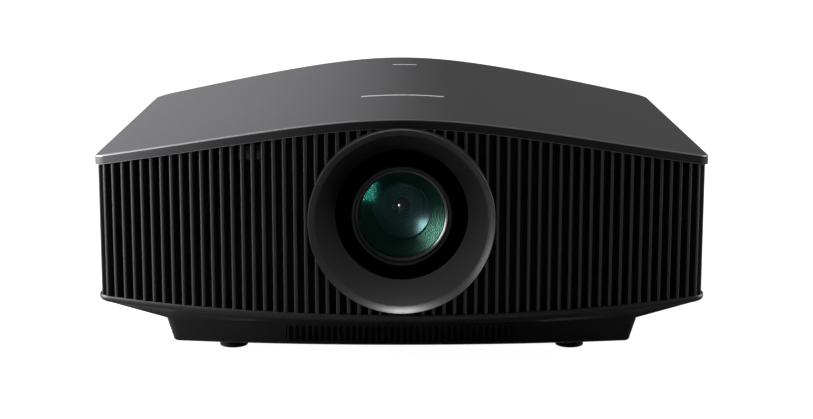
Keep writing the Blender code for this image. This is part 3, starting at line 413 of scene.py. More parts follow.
def case_outline(inset=0.0):
    return plan_outline(HALF_WIDTH, HALF_WIDTH_REAR, FRONT_CORNER_Y, REAR_Y, FRONT_RADIUS,
                        FRONT_FILLET, REAR_FILLET, inset)


def plinth_outline(inset=0.0):
    return plan_outline(PLINTH_HALF_WIDTH, PLINTH_HALF_WIDTH_REAR, PLINTH_CORNER_Y,
                        PLINTH_REAR_Y, PLINTH_RADIUS, 12 * MM, 15 * MM, inset)


def at_height(outline, z):
    return [(point.x, point.y, z) for point in outline]


def under_arch(outline, drop):
    return [(point.x, point.y, arch_z(point.x) - drop) for point in outline]


def outline_walk(outline, distance):
    """The point and direction at a distance along an outline, from the front middle."""
    for first, second in zip(outline, outline[1:]):
        step = second - first
        if distance <= step.length:
            return first + step.normalized() * distance, step.normalized()
        distance -= step.length
    raise ValueError("past the end of the outline")


# ---------------------------------------------------------------- casing

def under_shrunk(outline, share, drop):
    """An outline under the arch, drawn in towards the middle of the cover."""
    middle = Vector((0, COVER_MIDDLE_Y))
    return under_arch([middle + (point - middle) * share for point in outline], drop)


def make_cover():
    """The arched top cover: rim, rounded ridge, top, and the hollow underside."""
    rings = [under_arch(case_outline(inset), drop) for inset, drop in (
        (RIM_WALL, RIM_HEIGHT - 0.4 * MM), (RIM_WALL - 0.3 * MM, RIM_HEIGHT),
        (0.35 * MM, RIM_HEIGHT), (0.0, RIM_HEIGHT - 0.45 * MM))]
    steps = 6
    for i in range(steps + 1):
        turn = math.pi / 2 * i / steps
        inset = RIDGE_ROUND * (1 - math.cos(turn))
        rings.append(under_arch(case_outline(inset), RIDGE_ROUND * (1 - math.sin(turn))))
    edge = case_outline(RIDGE_ROUND)
    shrinks = 26
    for i in range(1, shrinks):
        rings.append(under_shrunk(edge, 1 - i / shrinks, 0.0))
    rings.append([(0, COVER_MIDDLE_Y, arch_z(0))])
    under = [under_arch(case_outline(RIM_WALL), COVER_SKIN + 0.6 * MM)]
    inner = case_outline(RIM_WALL + 0.5 * MM)
    shrinks = 10
    for i in range(shrinks):
        under.append(under_shrunk(inner, 1 - i / shrinks, COVER_SKIN))
    under.append([(0, COVER_MIDDLE_Y, arch_z(0) - COVER_SKIN)])
    cover = skin("cover_shell", under[::-1] + rings, (False, False))
    bezel_cut(cover, BEZEL_RADIUS + 0.5 * MM)
    gap = 0.3
    for low_x, high_x, y, width in INLAYS.values():
        subtract(cover, curved_bar("cutter", low_x - gap, high_x + gap, y, width + 2 * gap,
                                   -0.5, 1.0))
    even_shading(finish_piece(cover, CHARCOAL, "root", ["top_cover"], 50))
    cover.data.materials.append(COVER_RIM_PAINTED_SHADE.material)
    cover.data.materials.append(COVER_RIDGE_PAINTED_HIGHLIGHT.material)
    upright, level, forwards = 0.35, 0.92, -0.3
    for face in cover.data.polygons:
        # Upright faces (rim and inner walls) take the darker copy: painted shade
        if abs(face.normal.z) < upright:
            face.material_index = 1
        # Faces of the ridge that look up and forward take the lighter copy: painted highlight
        elif face.normal.z < level and face.normal.y < forwards:
            face.material_index = 2


INLAYS = {                          # low x, high x, y and width, in millimetres
    "front_inlay": (-38.5, 40.0, -78.0, 6.5),
    "rear_inlay": (-10.0, 16.0, 176.0, 5.0),
}


def curved_bar(name, low_x, high_x, y, width, low, high):
    """A bar that follows the arch from side to side, between two offsets from its face."""
    steps = 12
    front = (y - width / 2) * MM
    back = (y + width / 2) * MM
    rings = []
    for i in range(steps + 1):
        x = (low_x + (high_x - low_x) * i / steps) * MM
        base = arch_z(x) + low * MM
        face = arch_z(x) + high * MM
        rings.append([(x, front, base), (x, front, face), (x, back, face), (x, back, base)])
    return skin(name, rings)


def round_tool(radius, reach, centre, direction, steps):
    """A rod to cut with, that reaches as far in front of its centre as behind it."""
    profile = [(0, -reach), (radius, -reach), (radius, reach), (0, reach)]
    return lathe("cutter", profile, centre, direction, steps, False)


def bezel_cut(made, radius):
    """Cuts a round opening for the lens bezel through a piece of the casing."""
    reach = 40 * MM
    centre = (0, BEZEL_FRONT_Y + reach / 2, LENS_Z)
    return subtract(made, round_tool(radius, reach, centre, (0, -1, 0), ROUND))


def subtract(made, tool):
    change = made.modifiers.new("cut", "BOOLEAN")
    change.operation = "DIFFERENCE"
    change.object = tool
    apply_all(made)
    bpy.data.objects.remove(tool, do_unlink=True)
    return made


def apply_all(made):
    """Makes the piece's modifiers part of its mesh."""
    bpy.context.view_layer.update()
    depsgraph = bpy.context.evaluated_depsgraph_get()
    mesh = bpy.data.meshes.new_from_object(made.evaluated_get(depsgraph))
    made.modifiers.clear()
    made.data = mesh
    return made


def slat(shape, point, direction, low_z, high_z):
    """One upright blade with a softly rounded face, its back narrower than its front."""
    outwards = Vector((direction.y, -direction.x))
    half = SLAT_WIDTH / 2
    round_off = 0.55 * MM
    section = [
        (-SLAT_BACK / 2, SLAT_DEPTH), (-half, round_off * 2.2), (-half + 0.12 * MM, 0.28 * MM),
        (-half + round_off, 0.0), (0.0, -0.12 * MM), (half - round_off, 0.0),
        (half - 0.12 * MM, 0.28 * MM), (half, round_off * 2.2), (SLAT_BACK / 2, SLAT_DEPTH),
    ]
    outline = [point + direction * across - outwards * back for across, back in section]
    add_skin(shape, [at_height(outline, low_z), at_height(outline, high_z)])


def slat_places():
    """Where each slat of the right half stands: (point, direction of its face)."""
    places = []
    radius = FRONT_RADIUS - WALL_INSET
    for i in range(FRONT_SLATS + 1):
        x = i * SLAT_PITCH
        turn = math.asin(x / radius)
        point = Vector((x, FRONT_CENTRE_Y - math.sqrt(radius ** 2 - x ** 2)))
        places.append((point, Vector((math.cos(turn), math.sin(turn)))))
    outline = case_outline(WALL_INSET)
    start = radius * math.asin(FRONT_SLATS * SLAT_PITCH / radius)
    point, direction = outline_walk(outline, start + CORNER_PITCH)
    while point.y <= GRILLE_END_Y - 3 * MM:
        places.append((point, direction))
        point, direction = outline_walk(outline, start + (len(places) - FRONT_SLATS) * CORNER_PITCH)
    return places


def make_grille():
    """Upright slats over the whole front, ending on the bezel where they meet it."""
    shape = bmesh.new()
    low_z = WALL_BOTTOM_Z + 0.4 * MM
    for index, (point, direction) in enumerate(slat_places()):
        for side in ((1,) if index == 0 else (-1, 1)):
            place = Vector((point.x * side, point.y))
            along = Vector((direction.x, direction.y * side))
            high_z = arch_z(point.x) - COVER_SKIN - 0.8 * MM
            inside = BEZEL_RADIUS - SLAT_WIDTH
            if point.x < inside:
                reach = math.sqrt((BEZEL_RADIUS - 1 * MM) ** 2 - point.x ** 2)
                slat(shape, place, along, low_z, LENS_Z - reach)
                if LENS_Z + reach < high_z - 1 * MM:
                    slat(shape, place, along, LENS_Z + reach, high_z)
            else:
                slat(shape, place, along, low_z, high_z)
    finish_piece(link("grille_slats", shape), GRILLE, "root", ["front_grille"], 28)


def strip(name, inset, thickness, low, high, paint):
    """A strip that follows the front from side to side, between heights given for each x."""
    def front_of(outline):
        kept = [point for point in outline if point.y < GRILLE_END_Y - 1e-6]
        reach = max(point.x for point in kept)
        kept += [Vector((reach, GRILLE_END_Y)), Vector((-reach, GRILLE_END_Y))]
        return sorted(kept, key=lambda p: (p.x, -p.y if p.x < 0 else p.y))
    rings = []
    for a, b in zip(front_of(case_outline(inset)), front_of(case_outline(inset + thickness))):
        rings.append([(a.x, a.y, low(a.x)), (a.x, a.y, high(a.x)),
                      (b.x, b.y, high(b.x)), (b.x, b.y, low(b.x))])
    made = bezel_cut(skin(name, rings), BEZEL_RADIUS - 0.8 * MM)
    return finish_piece(made, paint, "root")


def make_grille_back():
    """The rails that carry the slats, and behind them a dust screen in near-black painted shade."""
    def base(x):
        return WALL_BOTTOM_Z

    def under_cover(x):
        return arch_z(x) - COVER_SKIN - 0.5 * MM

    inset = WALL_INSET + 1.2 * MM
    strip("grille_low_rail", inset, 3 * MM, base, lambda x: LIP_TOP_Z - 0.2 * MM, GRILLE)
    strip("grille_high_rail", inset, 3 * MM, lambda x: arch_z(x) - RIM_HEIGHT + 0.6 * MM,
          under_cover, GRILLE)
    # The screen's near-black colour is painted shade behind the slat gaps
    strip("dust_screen", WALL_INSET + SLAT_DEPTH + 2 * MM, 0.8 * MM, base, under_cover, SHADE_BLACK)


def make_case():
    """Lip, chin and plinth in one smooth skin, with its hollow inside."""
    corner = 4 * MM
    steps = 5
    rings = []
    for i in range(steps + 1):
        turn = math.pi / 2 * i / steps
        inset = PLINTH_TAPER + corner * (1 - math.sin(turn))
        rings.append(at_height(plinth_outline(inset),
                               PLINTH_BOTTOM_Z + corner * (1 - math.cos(turn))))
    wall = LIP_INSET + 1.5 * MM
    rings += [at_height(outline(inset), z) for outline, inset, z in (
        (plinth_outline, 0.35 * MM, CHIN_BOTTOM_Z - 0.9 * MM),
        (plinth_outline, -0.1 * MM, CHIN_BOTTOM_Z - 0.1 * MM),
        (case_outline, LIP_INSET + 6.4 * MM, LIP_BOTTOM_Z - 1.35 * MM),
        (case_outline, LIP_INSET + 3.4 * MM, LIP_BOTTOM_Z - 0.35 * MM),
        (case_outline, LIP_INSET + 1.3 * MM, LIP_BOTTOM_Z + 0.7 * MM),
        (case_outline, LIP_INSET + 0.3 * MM, LIP_BOTTOM_Z + 2.0 * MM),
        (case_outline, LIP_INSET, LIP_BOTTOM_Z + 3.2 * MM),
        (case_outline, LIP_INSET, LIP_TOP_Z - 0.5 * MM),
        (case_outline, LIP_INSET + 0.4 * MM, LIP_TOP_Z),
        (case_outline, wall, LIP_TOP_Z),
        (case_outline, wall, LIP_BOTTOM_Z + 2.7 * MM),
        (case_outline, wall + 5 * MM, LIP_BOTTOM_Z + 2.1 * MM),
        (plinth_outline, 3 * MM, CHIN_BOTTOM_Z + 3 * MM),
        (plinth_outline, PLINTH_TAPER + 3 * MM, FLOOR_Z))]
    tub = skin("case_tub", rings)
    subtract(tub, vent_strip("vent_cut", -4 * MM, 8 * MM, 1 * MM))
    finish_piece(tub, CASE, "root", ["bottom_case"], 40)


def plinth_face_y(x, z):
    """How far forward the plinth's front is at a place across it and a height."""
    centre_y = PLINTH_CORNER_Y + math.sqrt(PLINTH_RADIUS ** 2 - PLINTH_HALF_WIDTH ** 2)
    share = (z - PLINTH_BOTTOM_Z) / (CHIN_BOTTOM_Z - PLINTH_BOTTOM_Z)
    inset = PLINTH_TAPER * (1 - share)
    return centre_y - math.sqrt((PLINTH_RADIUS - inset) ** 2 - x ** 2)


def vent_strip(name, front, back, margin):
    """A curved strip the size of the vent, between two depths behind the plinth's face."""
    steps = 16
    low_z = VENT_LOW.z + margin
    high_z = VENT_HIGH.z - margin
    rings = []
    for i in range(steps + 1):
        x = VENT_LOW.x + (VENT_HIGH.x - VENT_LOW.x) * i / steps
        rings.append([(x, plinth_face_y(x, z) + depth, z) for depth, z in (
            (front, low_z), (front, high_z), (back, high_z), (back, low_z))])
    return skin(name, rings)


def make_plinth_vent():
    """A row of fine upright ribs over an opening in the plinth's front, with a near-black sheet of
    painted shade behind it.
    """
    pitch = 5.75 * MM
    half = 1.25 * MM
    ease = 0.5 * MM
    depth = 1.6 * MM
    start = VENT_LOW.x + 2 * MM
    width = VENT_HIGH.x - VENT_LOW.x - 4 * MM
    count = round(width / pitch)
    shape = bmesh.new()
    for i in range(count + 1):
        x = start + width * i / count
        rings = []
        for z in (VENT_LOW.z, VENT_HIGH.z):
            front = plinth_face_y(x, z) + 0.1 * MM
            rings.append([(x - half, front + depth, z), (x - half + ease, front, z),
                          (x + half - ease, front, z), (x + half, front + depth, z)])
        add_skin(shape, rings)
    finish_piece(link("plinth_ribs", shape), CASE, "root", ["plinth_grille"])
    # A near-black sheet behind the vent opening: painted shade
    finish_piece(vent_strip("vent_screen", 4.5 * MM, 5.2 * MM, 0.0), SHADE_BLACK, "root")


# ---------------------------------------------------------------- lens

def on_axis(profile):
    """(radius, y) points as (radius, distance along -Y from the lens centre)."""
    return [(radius, -y) for radius, y in profile]


def optic(name, profile, paint, body, steps=96, replaced=(), sharp=35):
    """A ring or tube of the lens, turned round its axis and finished."""
    made = lathe(name, on_axis(profile), LENS_CENTRE, steps=steps)
    return finish_piece(made, paint, body, replaced, sharp)


def make_bezel():
    """The dished ring: thin front edge, steep inner lip, concave dish, rounded hole."""
    front = BEZEL_FRONT_Y
    back = -231 * MM
    outer = BEZEL_RADIUS
    inner = outer - 2.6 * MM
    edge_r, edge_y = 75.5 * MM, front + 4.6 * MM
    hole_r, hole_y = 58.9 * MM, front + 35.4 * MM
    profile = [
        (outer, back),
        *near(outer, front, (0, 1.3), (-0.12, 0.6), (-0.45, 0.12), (-0.85, 0), (-1.3, 0.25)),
        *arc((outer - 1.5 * MM, front + 0.45 * MM), (edge_r, edge_y), 0.15 * MM, 5),
        *arc((edge_r - 0.2 * MM, edge_y + 0.3 * MM), (hole_r, hole_y), 0.9 * MM, 26),
        *near(hole_r, hole_y, (0, 0.5), (0.4, 1), (2.6, 1)),
        *arc((hole_r + 3 * MM, hole_y - 1 * MM), (edge_r + 1.2 * MM, edge_y + 5 * MM),
             -0.8 * MM, 10),
        (inner, front + 12 * MM), (inner, back)]
    optic("lens_dish", profile, BEZEL, "root", 192, ["lens_bezel"], 22)


def make_barrel():
    """The barrel: rounded nose, dust disc, flange on the carriage, bevel round the glass."""
    tail_y = corners("lens_barrel")[1].y
    front = BARREL_FRONT_Y
    radius = 45.3 * MM
    bore = 39.2 * MM
    seat = 41.3 * MM
    flange_y = -148.3 * MM
    tail = 30 * MM
    tail_bore = 27 * MM
    profile = [
        *near(radius, front, (-0.5, 1), (-0.1, 1.6), (0, 2.4)),
        *near(radius, flange_y, (0, 0), (5, 0), (5, 5)),
        (tail, flange_y + 5 * MM), (tail, tail_y), (tail_bore, tail_y),
        (tail_bore, flange_y), (bore, flange_y), (bore, front + 9.2 * MM),
        *near(seat, front, (0, 9), (0, 1.4), (0.3, 0.7), (0.9, 0.25), (1.7, 0), (2.7, 0.2))]
    optic("barrel_tube", profile, LENS_BLACK, "side_carriage", 160, ["lens_barrel"], 30)

    disc_y = -206.2 * MM
    plate = near(radius, disc_y, (0.05, 0), (3, 0))
    for groove in (5, 10, 15, 20):
        plate += near(radius, disc_y, (groove, 0), (groove + 0.6, 0.3), (groove + 1.2, 0))
    plate += near(71 * MM, disc_y, (-0.4, 0), (0, 0.4), (0, 1.4))
    plate += near(radius, disc_y, (0.05, 1.4))
    optic("dust_disc", plate, FLOCK, "side_carriage", 128, sharp=30)

    band = near(41.2 * MM, front, (0, 8.8), (0, 1.5), (-0.3, 1.2), (-0.6, 1.3))
    band += near(38.5 * MM, front, (0.2, 2.5), (0, 2.7), (-0.05, 3), (0, 8.8))
    optic("glass_retainer", band, RETAINER, "side_carriage", 160, sharp=30)


def element(name, radius, front_y, back_y, front_bulge, back_bulge, body, paint, replaced=()):
    """A glass lens with curved faces; a positive bulge stands out of its own side."""
    steps = 14
    front = []
    back = []
    for i in range(steps + 1):
        r = radius * i / steps
        rise = 1 - (r / radius) ** 2
        front.append((r, front_y - front_bulge * rise))
        back.append((r, back_y + back_bulge * rise))
    made = lathe(name, on_axis(front + back[::-1]), LENS_CENTRE, steps=96, closed=False)
    return finish_piece(made, paint, body, replaced, 30)


def make_baffle():
    """The stepped cone behind the front glass, with its light-trapping ribs."""
    start_r, start_y = 38.4 * MM, BARREL_FRONT_Y + 9.5 * MM
    end_r, end_y = 26.4 * MM, -198.4 * MM
    rim = 38.9 * MM
    back = end_y + 1.5 * MM
    lift = 0.42 * MM
    ribs = 9
    profile = []
    for i in range(ribs):
        for share, raised in ((0.0, 0.0), (0.12, lift), (0.5, lift), (0.62, 0.0)):
            t = (i + share) / ribs
            profile.append((start_r + (end_r - start_r) * t + raised * 0.6,
                            start_y + (end_y - start_y) * t + raised * 0.8))
    profile += [(end_r, end_y), (end_r, back), (rim, back), (rim, start_y)]
    optic("baffle_cone", profile, BAFFLE, "side_carriage", 128, sharp=25)


def lens_cell(name, bore, front, rear, body, grooves=2):
    """The stepped ring that holds a moving lens, with a bevel and fine grooves."""
    outer = 38.4 * MM
    pitch = 1.9 * MM
    first = bore + 1.4 * MM
    profile = [(outer, front + 2 * MM), (outer, rear), (bore, rear)]
    profile += near(bore, front, (0, 0.8), (0.5, 0.2))
    for i in range(grooves):
        profile += near(first + pitch * i, front, (0, 0), (0.3, 0.7), (0.9, 0.7), (1.2, 0))
    profile += near(first + pitch * grooves, front, (0, 0.2), (1.4, 2))
    optic(name, profile, CELL, body)


def make_glass():
    """Front glass, the hollow-faced focus lens, the zoom lens and the small rear lens."""
    front = BARREL_FRONT_Y
    element("front_element", 38.6 * MM, front + 6.0 * MM, front + 8.6 * MM, 4.6 * MM,
            -2.0 * MM, "side_carriage", GREEN_GLASS, ["front_glass"])
    focus = 25.6 * MM
    element("second_element", focus, -192 * MM, -184 * MM, -3.4 * MM, 0.5 * MM,
            "focus_group", CYAN_GLASS, ["focus_group"])
    lens_cell("second_cell", focus + 0.1 * MM, -192.6 * MM, -182 * MM, "focus_group")
    zoom = 9.6 * MM
    element("third_element", zoom, -172 * MM, -164 * MM, 4.2 * MM, -0.6 * MM,
            "zoom_group", PINK_GLASS, ["zoom_group"])
    lens_cell("third_cell", zoom + 0.1 * MM, -172.6 * MM, -162 * MM, "zoom_group", 5)
    element("rear_element", 8.5 * MM, -152 * MM, -146 * MM, 2.6 * MM, 1.0 * MM,
            "side_carriage", TEAL_GLASS)
    stop = near(0, 0, (26.6, -150), (26.6, -144), (8.6, -144), (8.6, -151), (9.6, -152.2),
                (11, -152.4), (12.5, -151.2), (18, -150.6), (18.8, -149.8))
    optic("rear_stop", stop, CELL, "side_carriage")


def coated_glass(name, tint, clear, index, rough=0.03):
    """A clear lens that shows by its coating: see-through, with a coloured reflection."""
    paint = Paint(name, Roughness=rough, IOR=index, Alpha=1 - clear, Specular_Tint=(*tint, 1))
    paint.material.blend_method = "BLEND"
    broad = paint.noise(18, 2.0)
    paint.colour(broad, tuple(0.002 * c for c in tint), tuple(0.006 * c for c in tint))
    return paint.roughness(broad, rough, rough + 0.03)


RETAINER = textured_plastic("retainer_satin", 0.012, 0.018, 0.24, 1800, 0.05, 0.00002)
BAFFLE = textured_plastic("baffle_green_black", (0.001, 0.004, 0.003), (0.002, 0.006, 0.005),
                          0.34, 1800, 0.05, 0.00002, Specular_Tint=(0.30, 0.85, 0.62, 1),
                          Specular_IOR_Level=1.0)
CELL = textured_plastic("cell_blue_black", (0.003, 0.007, 0.008), (0.005, 0.011, 0.012),
                        0.3, 1800, 0.05, 0.00002, Specular_Tint=(0.4, 0.8, 0.85, 1),
                        Specular_IOR_Level=0.9)
GREEN_GLASS = coated_glass("green_coated_glass", (0.10, 0.90, 0.68), 0.945, 1.6, 0.10)
CYAN_GLASS = coated_glass("cyan_coated_glass", (0.45, 0.92, 0.95), 0.80, 1.8, 0.16)
TEAL_GLASS = coated_glass("teal_coated_glass", (0.3, 0.7, 0.7), 0.8, 1.7, 0.16)
PINK_GLASS = coated_glass("pink_coated_glass", (1.0, 0.72, 0.82), 0.1, 2.2, 0.04)
FLOCK = textured_plastic("flock_black", 0.0006, 0.0012, 0.9, 1800, 0.3, 0.00006,
                         Specular_IOR_Level=0.05)


# ---------------------------------------------------------------- side and rear walls

def blocks_piece(name, spans, width=0.0, segments=1):
    """Several blocks in one piece, each given by its two corners."""
    shape = bmesh.new()
    for low, high in spans:
        block(shape, low, high)
    made = link(name, shape)
    return rounded(made, width, segments) if width else made


def box_piece(name, low, high, width=0.0, segments=2):
    """A block between two corners, with rounded edges if a width is given."""
    return blocks_piece(name, [(low, high)], width, segments)


def wall_band(name):
    """The whole wall under the cover as one closed band, with softened lower and upper edges."""
    soft = 0.5 * MM
    outer = case_outline(WALL_INSET)
    eased = case_outline(WALL_INSET + soft)
    inner = case_outline(WALL_INSET + WALL)
    return skin(name, [
        at_height(inner, WALL_BOTTOM_Z),
        at_height(eased, WALL_BOTTOM_Z),
        at_height(outer, WALL_BOTTOM_Z + soft),
        under_arch(outer, RIM_HEIGHT + 0.2 * MM),
        under_arch(eased, RIM_HEIGHT - 0.3 * MM),
        under_arch(eased, COVER_SKIN + 1.4 * MM),
        under_arch(inner, COVER_SKIN + 1.4 * MM)], loop=True)


def cut_box(made, low, high, width=0.0):
    return subtract(made, box_piece("cutter", low, high, width))


def side_x(y):
    """The outer face of the right-hand wall at a distance along the casing."""
    lean = (HALF_WIDTH - HALF_WIDTH_REAR) / (REAR_Y - FRONT_CORNER_Y)
    return HALF_WIDTH - WALL_INSET - lean * (y - FRONT_CORNER_Y)


def make_side_walls():
    """The two side panels: one opens for the filter door, one for keys and connectors."""
    inside = 0.1                    # within the casing, clear of its walls
    for name, node, side in (("left_wall", "side_panel_left", -1),
                             ("right_wall", "side_panel_right", 1)):
        wall = wall_band(name)
        cut_box(wall, (-FAR, -FAR, 0), (FAR, GRILLE_END_Y + 0.6 * MM, FAR))
        cut_box(wall, (-FAR, SIDE_END_Y, 0), (FAR, FAR, FAR))
        other = sorted((-side * FAR, side * inside))
        cut_box(wall, (other[0], -FAR, 0), (other[1], FAR, FAR))
        if side == 1:
            low, high = corners("terminal_panel")
            edge = 2.2 * MM
            cut_box(wall, (low.x - 0.01, low.y + edge, low.z + edge),
                    (FAR, high.y - edge, high.z - edge), 1.5 * MM)
            reach = 20 * MM
            for button in [*KEY_MARKS, "power_lamp"]:
                middle, radius = round_node(button)[2:]
                centre = (side_x(middle.y), middle.y, middle.z)
                subtract(wall, round_tool(radius + 0.45 * MM, reach, centre, (1, 0, 0), 40))
        else:
            low, high = corners("filter_door")
            cut_box(wall, (-FAR, low.y - WALL_GAP, low.z - WALL_GAP),
                    (-inside, high.y + WALL_GAP, high.z + WALL_GAP), 1.2 * MM)
        rounded(wall, WALL_EDGE, 2, 50)
        even_shading(finish_piece(wall, PANEL, "root", [node]))


def make_rear_wall():
    """The rear panel: two banks of intake louvres, the AC inlet and an infrared window."""
    wall = wall_band("rear_wall")
    cut_box(wall, (-FAR, -FAR, 0), (FAR, SIDE_END_Y + 0.6 * MM, FAR))
    slots = []
    screens = []
    vanes = bmesh.new()
    back_y = REAR_Y - WALL_INSET
    lean = Matrix.Rotation(math.radians(24), 4, "Z")
    columns = 12
    first_x = 96 * MM
    for side in (-1, 1):
        for column in range(columns):
            x = side * (first_x + column * SLAT_PITCH)
            slots.append(about((x, back_y, 0), (-2.3, -10, 102), (2.3, 10, 164)))
            place = Matrix.Translation((x - 2.2 * MM, back_y - 5.5 * MM, 0)) @ lean
            block(vanes, *about((0, 0, 0), (-0.5, -4.5, 101), (0.5, 1.5, 165)), place)
        screens.append(about((side * 147 * MM, back_y, 0), (-59, -11.5, 98), (59, -10.5, 168)))
    subtract(wall, blocks_piece("cutter", slots, 2.0 * MM, 3))
    for node in ("ac_inlet", "ir_window_rear"):
        low, high = corners(node)
        cut_box(wall, (low.x - WALL_GAP, low.y - 0.02, low.z - WALL_GAP),
                (high.x + WALL_GAP, high.y + 0.02, high.z + WALL_GAP), 0.8 * MM)
    rounded(wall, WALL_EDGE, 2, 50)
    even_shading(finish_piece(wall, PANEL, "root", ["rear_panel"]))
    finish_piece(rounded(link("louvre_vanes", vanes), 0.25 * MM, 1), PANEL, "root")
    finish_piece(blocks_piece("louvre_screen", screens, 0.3 * MM), MESH_BLACK, "root")


def make_filter_door():
    """A hinged door low on the left, with a sunken finger grip and five long grooves."""
    low, high = corners("filter_door")
    thick = 3 * MM
    rings = []
    for y in (low.y, high.y):
        face = -side_x(y)
        rings.append([(face, y, low.z), (face, y, high.z), (face + thick, y, high.z),
                      (face + thick, y, low.z)])
    door = skin("filter_cover", rings)
    middle_y = (low.y + high.y) / 2
    face = -side_x(middle_y)
    cut_box(door, *about((face, middle_y, high.z), (-8, -16, -13), (1.9, 16, -5)), 2.4 * MM)
    reach = (high.y - low.y) / 2 / MM - 9
    for z in (11, 21, 31, 41, 51):
        cut_box(door, *about((face, middle_y, low.z), (-8, -reach, z), (1.5, reach, z + 1.6)),
                0.5 * MM)
    rounded(door, 0.4 * MM, 2, 50)
    even_shading(finish_piece(door, PANEL, "filter_door", ["filter_door"]))


# ---------------------------------------------------------------- connectors, keys and windows

def make_tray():
    """The sunken connector tray, with its rounded walls and four screws."""
    low, high = corners("terminal_panel")
    wall = 2.4 * MM
    tray = box_piece("connector_tray", low, high, 0.5 * MM)
    cut_box(tray, low + Vector((wall, wall, wall)), high + Vector((0.02, -wall, -wall)), 2.5 * MM)
    even_shading(finish_piece(tray, CASE, "root", ["terminal_panel"]))
    screws = bmesh.new()
    base = low.x + wall
    for y in (low.y + 9 * MM, high.y - 9 * MM):
        for z in (low.z + 8 * MM, high.z - 8 * MM):
            add_screw(screws, (base + 0.05 * MM, y, z), (1, 0, 0), 2.6 * MM)
    finish_piece(link("tray_screws", screws), DARK_METAL, "root")


def add_screw(shape, centre, direction, radius):
    """A cross-head screw: a low domed head with a cross sunk in it, added to a bmesh."""
    place = facing(centre, direction)
    rings = [ring(place, 24, radius * share, radius * height) for share, height in (
        (1.0, 0.0), (1.0, 0.25), (0.9, 0.42), (0.7, 0.52), (0.42, 0.56))]
    rings.append(ring(place, 24, lambda i: radius * (0.13 if i % 6 else 0.40), radius * 0.18))
    add_skin(shape, rings)


def cut_groove(made, low, high, inner_low, inner_high):
    """Cuts a frame: the block between two corners, less the block inside it."""
    frame_tool = box_piece("cutter", low, high)
    subtract(frame_tool, box_piece("cutter_inner", inner_low, inner_high))
    return subtract(made, frame_tool)


def socket_shell(name, node, mouth, wall=0.7 * MM):
    """A plated connector shell: a flanged block with a rounded mouth on its +X side."""
    low, high = corners(node)
    shell = box_piece(name, low, high, 0.5 * MM)
    middle = (low + high) / 2
    half = Vector((0, mouth[0] / 2, mouth[1] / 2))
    lip = Vector((0, wall, wall))
    step_x = high.x - 1.0 * MM
    cut_groove(shell, (step_x, low.y - 1, low.z - 1), (high.x + 0.01, high.y + 1, high.z + 1),
               Vector((step_x - 1, middle.y, middle.z)) - half - lip,
               Vector((high.x + 1, middle.y, middle.z)) + half + lip)
    cut_box(shell, Vector((low.x + 1.5 * MM, middle.y, middle.z)) - half,
            Vector((high.x + 0.01, middle.y, middle.z)) + half, 0.6 * MM)
    even_shading(finish_piece(shell, STEEL, "root", [node]))
    return low, high, middle


def add_blocks(name, spans, paint, width, segments=1):
    """A fixed piece of several blocks, finished in one go."""
    return finish_piece(blocks_piece(name, spans, width, segments), paint, "root")


def make_display_socket(number):
    """A display socket: its shell, the tongue and two rows of contacts."""
    low, high, middle = socket_shell("display_shell_" + number, "hdmi_port_" + number,
                                     (14 * MM, 4.6 * MM))
    half = Vector((0, 5.4 * MM, 0.7 * MM))
    tongue = (Vector((low.x + 1.2 * MM, middle.y, middle.z)) - half,
              Vector((high.x - 1.6 * MM, middle.y, middle.z)) + half)
    add_blocks("display_tongue_" + number, [tongue], SOCKET_BLACK, 0.25 * MM, 2)
    contacts = []
    for i in range(10):
        y = middle.y + (i - 4.5) * 1.0 * MM
        for z in (middle.z + 0.68 * MM, middle.z - 0.84 * MM):
            contacts.append(((low.x + 2 * MM, y - 0.22 * MM, z),
                             (high.x - 2 * MM, y + 0.22 * MM, z + 0.16 * MM)))
    add_blocks("display_contacts_" + number, contacts, GOLD, 0.05 * MM)


def make_network_socket():
    """A network socket: its shell, eight contacts and two small lamps."""
    low, high, middle = socket_shell("network_shell", "lan_port", (12 * MM, 9.6 * MM))
    contacts = []
    for i in range(8):
        y = middle.y + (i - 3.5) * 1.02 * MM
        contacts.append(((low.x + 2 * MM, y - 0.2 * MM, middle.z + 2.3 * MM),
                         (high.x - 2.5 * MM, y + 0.2 * MM, middle.z + 2.75 * MM)))
    add_blocks("network_contacts", contacts, GOLD, 0.08 * MM)
    lamps = [about((high.x, middle.y, middle.z), (-2.4, y - 1.3, -4.7), (-0.9, y + 1.3, -3.4))
             for y in (-4.4, 4.4)]
    add_blocks("network_lamps", lamps, AMBER, 0.2 * MM, 2)


def make_serial_socket():
    """A nine-pin socket: its shell, the core, the pins and two hexagonal posts."""
    low, high, middle = socket_shell("serial_shell", "serial_port", (17.6 * MM, 8.6 * MM))
    half = Vector((0, 8.2 * MM, 3.7 * MM))
    core = (Vector((low.x + 1.4 * MM, middle.y, middle.z)) - half,
            Vector((high.x - 5.0 * MM, middle.y, middle.z)) + half)
    add_blocks("serial_core", [core], SOCKET_BLACK, 0.6 * MM, 2)
    pins = bmesh.new()
    for row, count in ((1, 5), (-1, 4)):
        for i in range(count):
            centre = Vector((core[1].x, middle.y + (i - (count - 1) / 2) * 2.77 * MM,
                             middle.z + row * 1.42 * MM))
            add_pin(pins, centre, 0.5 * MM, 3.6 * MM)
    finish_piece(link("serial_pins", pins), GOLD, "root")
    posts = bmesh.new()
    for y in (middle.y - 11.2 * MM, middle.y + 11.2 * MM):
        add_hexagon(posts, Vector((high.x - 1.1 * MM, y, middle.z)), 2.0 * MM, 2.4 * MM)
    finish_piece(link("serial_posts", posts), STEEL, "root")


